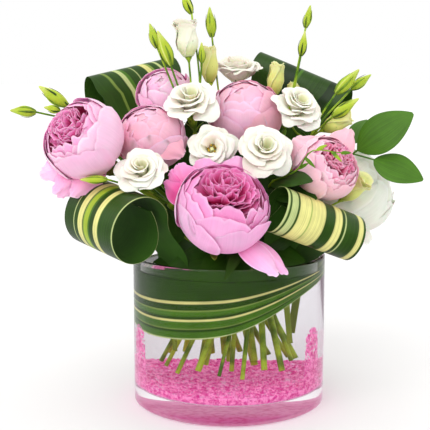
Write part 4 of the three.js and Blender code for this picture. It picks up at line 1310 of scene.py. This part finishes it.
def make_lisianthus(name):
    """An open bloom of flaring petals round a green heart, or round stamens."""
    chance = random.Random(f"{name} petals")
    _, face, radius = LISIANTHUS[name]
    place = placed(turned_axes(unit(face), radius * 7), lisianthus_base(name))
    surface = Surface()
    layers = CUP_LAYERS
    profile = [(0, 0.3), (3.5, 0.3), (5.2, 3), (4.6, 0.35 * radius), (2.0, 0.45 * radius), (0, 0.5 * radius)]
    if name in OPEN_HEARTED:
        layers = CUP_LAYERS[:4]
        profile = [(0, 0.3), (3.5, 0.3), (4.6, 2), (3.6, 5), (0, 6)]
        stamens(surface, place, radius, chance)
    for count, reach, height, curl, half_width, first, shift, ruffled, pointed, depth in layers:
        spread = OPEN_SPREAD
        if name in CUPPED:
            height = mixed(height, CUPPED_HEIGHT, CUPPED_SHARE)
            curl = curl - CUPPED_UNCURL
            pointed = pointed * CUPPED_POINT
            spread = CUPPED_SPREAD
        for i in range(count):
            turn = first + 360 * i / count + chance.uniform(-5, 5)
            point = cup_petal(
                chance, turn, reach * radius * chance.uniform(0.84, 1.03),
                height * radius * chance.uniform(0.88, 1.1), curl * chance.uniform(0.4, 1.6), half_width,
                shift, ruffled, pointed, spread,
            )
            tint = (depth, chance.random(), 0)
            blade(surface, lambda u, v: place(point(u, v)), CUP_STEPS, RUFFLE_THICKNESS, tint)
    lathe(surface, profile, CUP_HEART_SIDES, (1, 0.5, 0), 1, place=place)
    surface.piece(f"{name}_bloom", [LISIANTHUS_WHITE, CALYX_WHITE, STAMEN], name)


# Half-open blooms

# Each bloom's base, the way it points, its length and its radius
WOUND = {
    "half_open_tall": ((-40, 2, 344), (-0.1, 0, 1), 36, 11),
    "half_open_green": ((-19, 30, 319), (-0.05, -0.05, 1), 38, 9),
    "half_open_back": ((46, 40, 306), (0.12, 0, 1), 34, 8.5),
    "half_open_low": ((62, 44, 298), (0.25, 0.1, 0.95), 22, 6),
    "half_open_right": ((94, 2, 273), (0.85, -0.15, 0.45), 31, 9),
    "half_open_side": ((112, -8, 205), (0.62, -0.35, 0.62), 34, 8.5),
}
OPEN_MOUTHS = {"half_open_tall": 3.5, "half_open_side": 3.6}
# Each layer of petals: their number, how far in they lie, half width, reach and depth of colour
WOUND_LAYERS = [(4, 0.0, 58, 0.93, 0.0), (3, 1.3, 75, 1.0, 0.25), (2, 2.8, 110, 0.97, 0.6)]
WOUND_HEIGHTS = [0, 0.06, 0.24, 0.46, 0.72, 0.88, 1]
WOUND_WIDTHS = [0.4, 0.55, 0.86, 0.95, 0.74, 0.66, 0.72]
WOUND_HEART = [(0, 0), (0.45, 0.02), (0.6, 0.3), (0.5, 0.6), (0.3, 0.85), (0, 0.9)]


def make_wound(name):
    """A half-open bloom: petals wound round each other into a bud with a small lip."""
    chance = random.Random(f"{name} petals")
    base, way, length, radius = WOUND[name]
    place = placed(turned_axes(unit(way), chance.uniform(0, 360)), vec(*base))
    surface = Surface()
    mouth = OPEN_MOUTHS.get(name, 0.0)
    for count, inset, half_width, reach, depth in WOUND_LAYERS:
        for i in range(count):
            turn = 360 * i / count + 31 * inset
            top = reach * length * chance.uniform(0.95, 1.02)
            wave = Wobble(chance, (2.2, 4.1))
            short = notched(chance, 0.04)

            def point(u, v):
                tip = v * (1 - 0.14 * u * u * v - short(u) * v**4)
                grown = np.minimum(1, 3 * v)
                width = radius * np.interp(tip, WOUND_HEIGHTS, WOUND_WIDTHS) - inset * grown
                width = width + 0.9 * u * grown
                width = width + v**6 * (1.6 + mouth + (0.7 + 0.25 * mouth) * wave(u))
                return place(around(width, np.radians(turn + u * half_width + 75 * v), tip * top))

            blade(surface, point, WOUND_STEPS, RUFFLE_THICKNESS, (depth, chance.random(), 0))
    heart = [(r * radius, h * length) for r, h in WOUND_HEART]
    lathe(surface, heart, WOUND_HEART_SIDES, (1, 0.5, 0), 1, place=place)
    white = name == "half_open_tall"
    look, slot = (HALF_OPEN_WHITE, "white_petal") if white else (HALF_OPEN_GREEN, "green_petal")
    surface.piece(f"{name}_bloom", [look, CALYX_WHITE], name)


# Branching stems with closed buds

# Each bud: its base, the way it points, its length and its radius
SPRAYS = {
    "spray_upper_left": {
        "ring": "inner", "slot": 2, "fork": (-34, -3, 270), "blooms": ["lisianthus_upper_left"],
        "wound": ["half_open_tall"],
        "buds": [
            (-70, -4, 352, -0.3, 0, 0.95, 25, 4.6), (-57, -8, 335, -0.35, 0, 0.94, 36, 6.6),
            (-37, 14, 386, -0.4, 0, 0.92, 23, 4.8), (-27, 3, 338, 0, 0, 1, 20, 3.6),
        ],
    },
    "spray_middle": {
        "ring": "inner", "slot": 3, "fork": (2, -18, 205),
        "blooms": ["lisianthus_middle_left", "lisianthus_middle_right"],
    },
    "spray_right": {
        "ring": "outer", "slot": 11, "fork": (80, 10, 262), "blooms": ["lisianthus_right"],
        "wound": ["half_open_right"],
        "buds": [
            (105, 4, 308, 0.7, 0, 0.72, 33, 6.4), (122, 16, 312, 0.8, 0.1, 0.58, 25, 5),
            (101, -8, 286, 0.82, -0.05, 0.57, 31, 5.8),
        ],
    },
    "spray_top": {
        "ring": "centre", "slot": 0, "fork": (-6, 50, 282), "blooms": ["lisianthus_top"],
        "wound": ["half_open_green"], "buds": [(-17, 34, 364, -0.08, 0, 1, 30, 5.4)],
    },
    "spray_top_right": {
        "ring": "inner", "slot": 4, "fork": (58, 40, 270), "wound": ["half_open_back", "half_open_low"],
        "buds": [(77, 30, 373, 0.2, 0, 0.98, 23, 4.2), (72, 24, 345, 0.16, 0, 0.98, 25, 4.2)],
    },
    "spray_lower_left": {
        "ring": "outer", "slot": 4, "fork": (-58, -44, 204), "blooms": ["lisianthus_lower_left"],
        "buds": [(-112, -84, 232, -1, -0.05, 0, 25, 4)],
    },
    "spray_far_left": {
        "ring": "outer", "slot": 2, "fork": (-142, 2, 276),
        "buds": [
            (-186, -26, 291, -1, 0, 0.06, 25, 5.4), (-158, -8, 296, -0.82, 0, 0.57, 34, 6.6),
            (-164, -18, 292, -0.95, 0, 0.2, 16, 4),
        ],
    },
    "spray_far_right": {"ring": "outer", "slot": 8, "fork": (84, -8, 192), "wound": ["half_open_side"]},
    "spray_rear": {
        "ring": "outer", "slot": 14, "fork": (6, 62, 216), "blooms": ["lisianthus_rear"],
        "buds": [(-14, 84, 286, -0.2, 0.3, 0.93, 24, 5)],
    },
    "spray_side": {
        "ring": "outer", "slot": 1, "fork": (-92, 30, 216), "blooms": ["lisianthus_side"],
        "buds": [(-150, 8, 214, -0.9, -0.1, 0.3, 26, 5)],
    },
}
BUD_SWELL = [
    (0, 0), (0.35, 0.01), (0.62, 0.1), (0.88, 0.22), (0.98, 0.36), (0.9, 0.52), (0.66, 0.68),
    (0.42, 0.82), (0.24, 0.93), (0.12, 0.985), (0, 1),
]
SEPAL_COUNT = 5
BRACT_TURNS = (0.6, 3.5)
# Where the thickening at a branch's end lies past its foot, and its radius
BLOOM_ENDS = [(2.5, 2.2), (4.6, 4.2), (6, 4.6)]
WOUND_ENDS = [(2.5, 1.8), (4.5, 3.2), (5.7, 3.4)]
BUD_ENDS = [(1.0, 1.5), (2.0, 1.9)]


def narrow_leaf(surface, start, end, width, facing, sag, tint, look):
    """A slim pointed bract or sepal from start to end."""
    lay = laid(start, end, facing)

    def point(u, v):
        half = width / 2 * (0.04 + np.sin(math.pi * (0.12 + 0.86 * v) ** 0.8) ** 0.9)
        bow = sag * np.sin(math.pi * v) - 0.25 * np.abs(u) * half
        return lay(v, u * half, bow)

    blade(surface, point, NARROW_LEAF_STEPS, RUFFLE_THICKNESS, tint, look)


def closed_bud(surface, chance, base, way, length, radius):
    """A pointed bud of furled petals, held by slim sepals."""
    axes = turned_axes(way, chance.uniform(0, 360))

    def furl(r, h, angle):
        share = h / length
        turned = 3 * angle - 5 * share
        return r * (1 + 0.1 * np.cos(turned) * smoothstep(share, 0.1, 0.5)), h

    fine = catmull_rom([(r, h, 0) for r, h in BUD_SWELL], BUD_RINGS)[:, :2]
    profile = [(max(r, 0) * radius, h * length) for r, h in fine]
    profile[0], profile[-1] = (0, 0), (0, length)
    tint = (0, chance.random(), 0)
    lathe(surface, profile, BUD_SIDES, tint, 1, furl, placed(axes, base))
    for i in range(SEPAL_COUNT):
        round_way = axes @ outward(2 * math.pi * i / SEPAL_COUNT + chance.uniform(-0.2, 0.2))
        reach = chance.uniform(0.5, 0.85)
        start = base + round_way * 0.4 * radius
        end = base + way * length * reach + round_way * radius * (1.22 - 0.62 * reach)
        narrow_leaf(surface, start, end, 0.36 * radius, round_way, 0.42 * radius, (0, chance.random(), 0), 2)


def make_spray(name, ring, slot, fork, blooms=(), wound=(), buds=()):
    """A stem that branches at fork, up to the blooms that it carries and its own closed buds."""
    chance = random.Random(f"{name} stems")
    surface = Surface()
    split = vec(*fork)
    climb = unit(split - slot_point(ring, slot, WAIST_TOP))
    cut = mixed(*SPRAY_STEM_CUTS, chance_of(slot * 3 + fork[0]))
    path = stem_path(ring, slot, cut, split, climb)
    radii = np.full(len(path), SPRAY_STEM_RADIUS)
    radii[-3:] = KNUCKLE_RADII
    main_stem(surface, path, radii, STEM_SIDES, chance.uniform(0.5, 1))

    def branch(base, axis, ends):
        middle = mixed(split, base, 0.5) - axis * 0.14 * np.linalg.norm(base - split)
        line = catmull_rom([split, middle, base], BRANCH_STEPS)
        tips = [base + axis * h for h, _ in ends]
        widths = [BRANCH_RADIUS] * len(line) + [r for _, r in ends]
        # The branches' low chance leans their mottle to the dark green: painted shade among the blooms.
        tube(surface, np.concatenate([line, tips]), widths, BRANCH_SIDES, (0, chance.uniform(0, 0.4), 0))

    def collar(base, axis, radius, length, reach):
        axes = turned_axes(axis, chance.uniform(0, 360))
        for i in range(SEPAL_COUNT):
            round_way = axes @ outward(2 * math.pi * i / SEPAL_COUNT)
            start = base + round_way * radius * 0.6
            end = base + axis * length + round_way * reach
            narrow_leaf(surface, start, end, 2.4, round_way, 0.8, (0, chance.random(), 0), 2)

    for bloom in blooms:
        axis = unit(LISIANTHUS[bloom][1])
        foot = lisianthus_base(bloom) - axis * BRANCH_GAP
        branch(foot, axis, BLOOM_ENDS)
        collar(foot + axis * COLLAR_LIFT, axis, 4, 13, 9)
    for bloom in wound:
        base, way, length, radius = WOUND[bloom]
        axis = unit(way)
        foot = vec(*base) - axis * BRANCH_GAP
        branch(foot, axis, WOUND_ENDS)
        collar(foot + axis * COLLAR_LIFT, axis, 3, length * 0.5, radius * 0.98)
    for x, y, z, wx, wy, wz, length, radius in buds:
        base, way = vec(x, y, z), unit((wx, wy, wz))
        branch(base, way, BUD_ENDS)
        closed_bud(surface, chance, base, way, length, radius)
    for turn in BRACT_TURNS:
        way = outward(turn) + 0.9 * UP
        narrow_leaf(surface, split, split + way * 12, 3.2, UP, 1.5, (0, chance.random(), 0), 2)
    surface.piece(f"{name}_stems", [STEM, BUD, SEPAL], name)


# Leafy stems

# The foliage leaves fill the gaps among and behind the blooms with dark green: leaves, and painted shade as
# well.
# Each leaf: how far below the stem's top it starts, its tip, its width, the way it faces, its sag and the
# share of its length that is stalk
LEAFY_STEMS = {
    "ruscus_sprig": {
        "slot": 10, "top": (124, 4, 249), "axis": (0.72, -0.1, 0.6),
        "leaves": [
            (0, (179, -12, 289), 38, (-0.25, -0.8, 0.35), 4, 0.08),
            (1, (188, -24, 225), 32, (0.1, -0.8, 0.55), 4, 0.3),
            (10, (144, 52, 280), 22, (0.1, -0.5, 0.8), 4, 0.35),
        ],
    },
    "foliage_front_right": {
        "slot": 7, "top": (42, -40, 226), "axis": (0.45, -0.5, 0.7),
        "leaves": [
            (3, (75, -83, 230), 24, (0, -0.75, 0.7), 4), (10, (81, -66, 212), 26, (-0.1, -0.75, 0.65), 2),
        ],
        "twig": [(42, -40, 226), (62, -72, 240), (74, -85, 258), (101, -80, 256)],
    },
    "foliage_front": {
        "slot": 6, "top": (15, -54, 169), "axis": (0, -0.7, 0.6),
        "leaves": [
            (2, (-5, -108, 143), 11, (0, -0.5, 0.85), 4), (20, (-62, -38, 204), 34, (0, -0.95, 0.3), 4),
            (18, (72, -34, 184), 30, (0, -0.95, 0.3), 4), (14, (22, -26, 262), 40, (0, -1, 0.1), 3),
            (16, (-58, -65, 146), 36, (0, -0.7, 0.7), 3), (12, (38, -78, 145), 30, (0, -0.7, 0.7), 3),
            (18, (72, -50, 150), 34, (0, -0.7, 0.7), 3), (16, (-28, -82, 144), 32, (0, -0.7, 0.7), 3),
            (14, (6, -87, 142), 28, (0, -0.6, 0.8), 3), (18, (-74, -38, 146), 32, (0, -0.7, 0.7), 3),
            (18, (96, -12, 154), 36, (0, -0.8, 0.5), 3), (10, (-52, -40, 162), 32, (0, -0.9, 0.4), 3),
        ],
    },
    "foliage_rear": {
        "slot": 0, "top": (-34, 62, 180), "axis": (-0.3, 0.75, 0.6),
        "leaves": [
            (2, (-58, 110, 182), 30, (0, 0.4, 0.9), 4), (6, (4, 112, 180), 30, (0, 0.4, 0.9), 4),
            (8, (-33, 38, 292), 50, (0, -1, 0.15), 6), (4, (-92, 46, 264), 48, (0, -1, 0.2), 6),
            (6, (42, 54, 268), 50, (0, -1, 0.1), 5), (10, (96, 40, 236), 46, (0, -1, 0.2), 5),
        ],
    },
}
# Where along the twig its leaves start, and how far up or down they point
TWIG_LEAVES = [(9, 1), (12, -1), (15, 1), (18, -1), (20, 0.3)]


def broad_leaf(surface, chance, start, end, width, facing, sag, stalk=0.0):
    """A pointed leaf folded a little along its middle rib, narrow over the share stalk of its length."""
    lay = laid(start, end, vec(*facing))
    wave = Wobble(chance, (4.0, 7.0))

    def point(u, v):
        grown = np.clip((v - stalk) / (1 - stalk), 0, 0.995)
        half = width / 2 * (0.05 + np.abs(np.sin(math.pi * grown**0.85)) ** 0.8)
        bow = sag * np.sin(math.pi * v) - 0.12 * u * u * half + 0.1 * np.abs(u) * half
        bow = bow + 0.5 * u * np.sin(math.pi * v) * wave(2 * v)
        return lay(v, u * half, bow)

    blade(surface, point, BROAD_LEAF_STEPS, LEAF_THICKNESS, (0, chance.random(), 0), 1)


def make_leafy_stem(name, slot, top, axis, leaves, twig=()):
    """A stem with broad leaves near its top, and a twig with slim ones if there is one."""
    chance = random.Random(f"{name} leaves")
    surface = Surface()
    crown, way = vec(*top), unit(axis)
    path = stem_path("outer", slot, LEAFY_STEM_CUT, crown, way)
    main_stem(surface, path, LEAFY_STEM_RADIUS, STEM_SIDES, chance.uniform(0.4, 0.9))
    for below, tip, *leaf in leaves:
        broad_leaf(surface, chance, crown - way * below, vec(*tip), *leaf)
    if twig:
        line = catmull_rom(twig, TWIG_STEPS)
        tube(surface, line, np.linspace(1.0, 0.5, len(line)), BRANCH_SIDES, (0, 0, 0))
        for start, lift in TWIG_LEAVES:
            tip = line[start] + vec(9, -3, 7 * lift - 2)
            narrow_leaf(surface, line[start], tip, 3.4, vec(0, -1, 0.3), 0.8, (0, 0, 0), 0)
    look = RUSCUS if name == "ruscus_sprig" else LEAF_IN_PAINTED_SHADE
    surface.piece(f"{name}_leaves", [STEM, look], name)


# The bouquet

make_vase()
make_water()
make_chips()
make_wrap()
for name, roll in ROLLS.items():
    make_roll(name, **roll)
for name, peony in PEONIES.items():
    make_peony(name, **peony)
for name in LISIANTHUS:
    make_lisianthus(name)
for name in WOUND:
    make_wound(name)
for name, spray in SPRAYS.items():
    make_spray(name, **spray)
for name, leafy_stem in LEAFY_STEMS.items():
    make_leafy_stem(name, **leafy_stem)


# The floor, the light and the camera

FLOOR_HALF = 30.0
FLOOR_DROP = 0.0004
FRONT_LIGHT = (0.47, 0.46, 0.48, 1)
FRONT_IN_REFLECTIONS = (0.1, 0.1, 0.1, 1)
SIDE_LIGHT = (0.8, 0.78, 0.81, 1)
TOP_LIGHT = (1.1, 1.09, 1.08, 1)
KEY_STRENGTH = 1.2
KEY_SPREAD = 60.0
KEY_FROM = Vector((-0.4, -1.0, 0.75))
CAMERA_TARGET = Vector((-0.014, 0, 0.1875))
CAMERA_DISTANCE = 1.0
CAMERA_PITCH = 8.0
CAMERA_LENS = 83.72
CAMERA_SENSOR = 36


def make_floor():
    made, nodes = new_material("pale_floor")
    colour = nodes.blend(nodes.mottle(3.0, 2.0), paint("#f0f0f0"), paint("#f3f3f3"))
    nodes.finish({"Base Color": colour, "Roughness": 0.9, "Specular IOR Level": 0.1})
    mesh = bpy.data.meshes.new("floor")
    half = FLOOR_HALF
    corners = [(-half, -half, 0), (half, -half, 0), (half, half, 0), (-half, half, 0)]
    mesh.from_pydata(corners, [], [(0, 1, 2, 3)])
    mesh.materials.append(made)
    floor = linked("floor", mesh)
    floor.location.z = -FLOOR_DROP
    floor.visible_glossy = False


def make_light():
    """Light all round, dimmer in front and dimmer still there in reflections, with a soft key."""
    world = bpy.data.worlds.new("studio")
    nodes = cleared(world)
    way = nodes.add("ShaderNodeTexCoord").outputs["Generated"]
    _, ahead, height = nodes.add("ShaderNodeSeparateXYZ", {0: way}).outputs
    light = nodes.add("ShaderNodeLightPath").outputs
    front = nodes.blend(light["Is Glossy Ray"], FRONT_LIGHT, FRONT_IN_REFLECTIONS)
    sides = nodes.blend(nodes.ramp(ahead, -0.8, 0.6), front, SIDE_LIGHT)
    dome = nodes.blend(nodes.ramp(height, 0.0, 0.4), sides, TOP_LIGHT)
    colour = nodes.blend(light["Is Camera Ray"], dome, WHITE)
    sky = nodes.add("ShaderNodeBackground", {"Color": colour, "Strength": 1.0})
    nodes.add("ShaderNodeOutputWorld", {"Surface": sky.outputs[0]})
    bpy.context.scene.world = world
    sun = bpy.data.lights.new("soft_key", "SUN")
    sun.energy = KEY_STRENGTH
    sun.angle = math.radians(KEY_SPREAD)
    linked("soft_key", sun).rotation_euler = KEY_FROM.to_track_quat("Z", "Y").to_euler()


def make_camera():
    data = bpy.data.cameras.new("camera")
    data.lens = CAMERA_LENS
    data.sensor_width = CAMERA_SENSOR
    camera = linked("camera", data)
    pitch = math.radians(CAMERA_PITCH)
    ahead = Vector((0, math.cos(pitch), -math.sin(pitch)))
    camera.location = CAMERA_TARGET - ahead * CAMERA_DISTANCE
    camera.rotation_euler = (math.radians(90) - pitch, 0, 0)
    bpy.context.scene.camera = camera


make_floor()
make_light()
make_camera()
bpy.context.scene.view_settings.view_transform = "Standard"
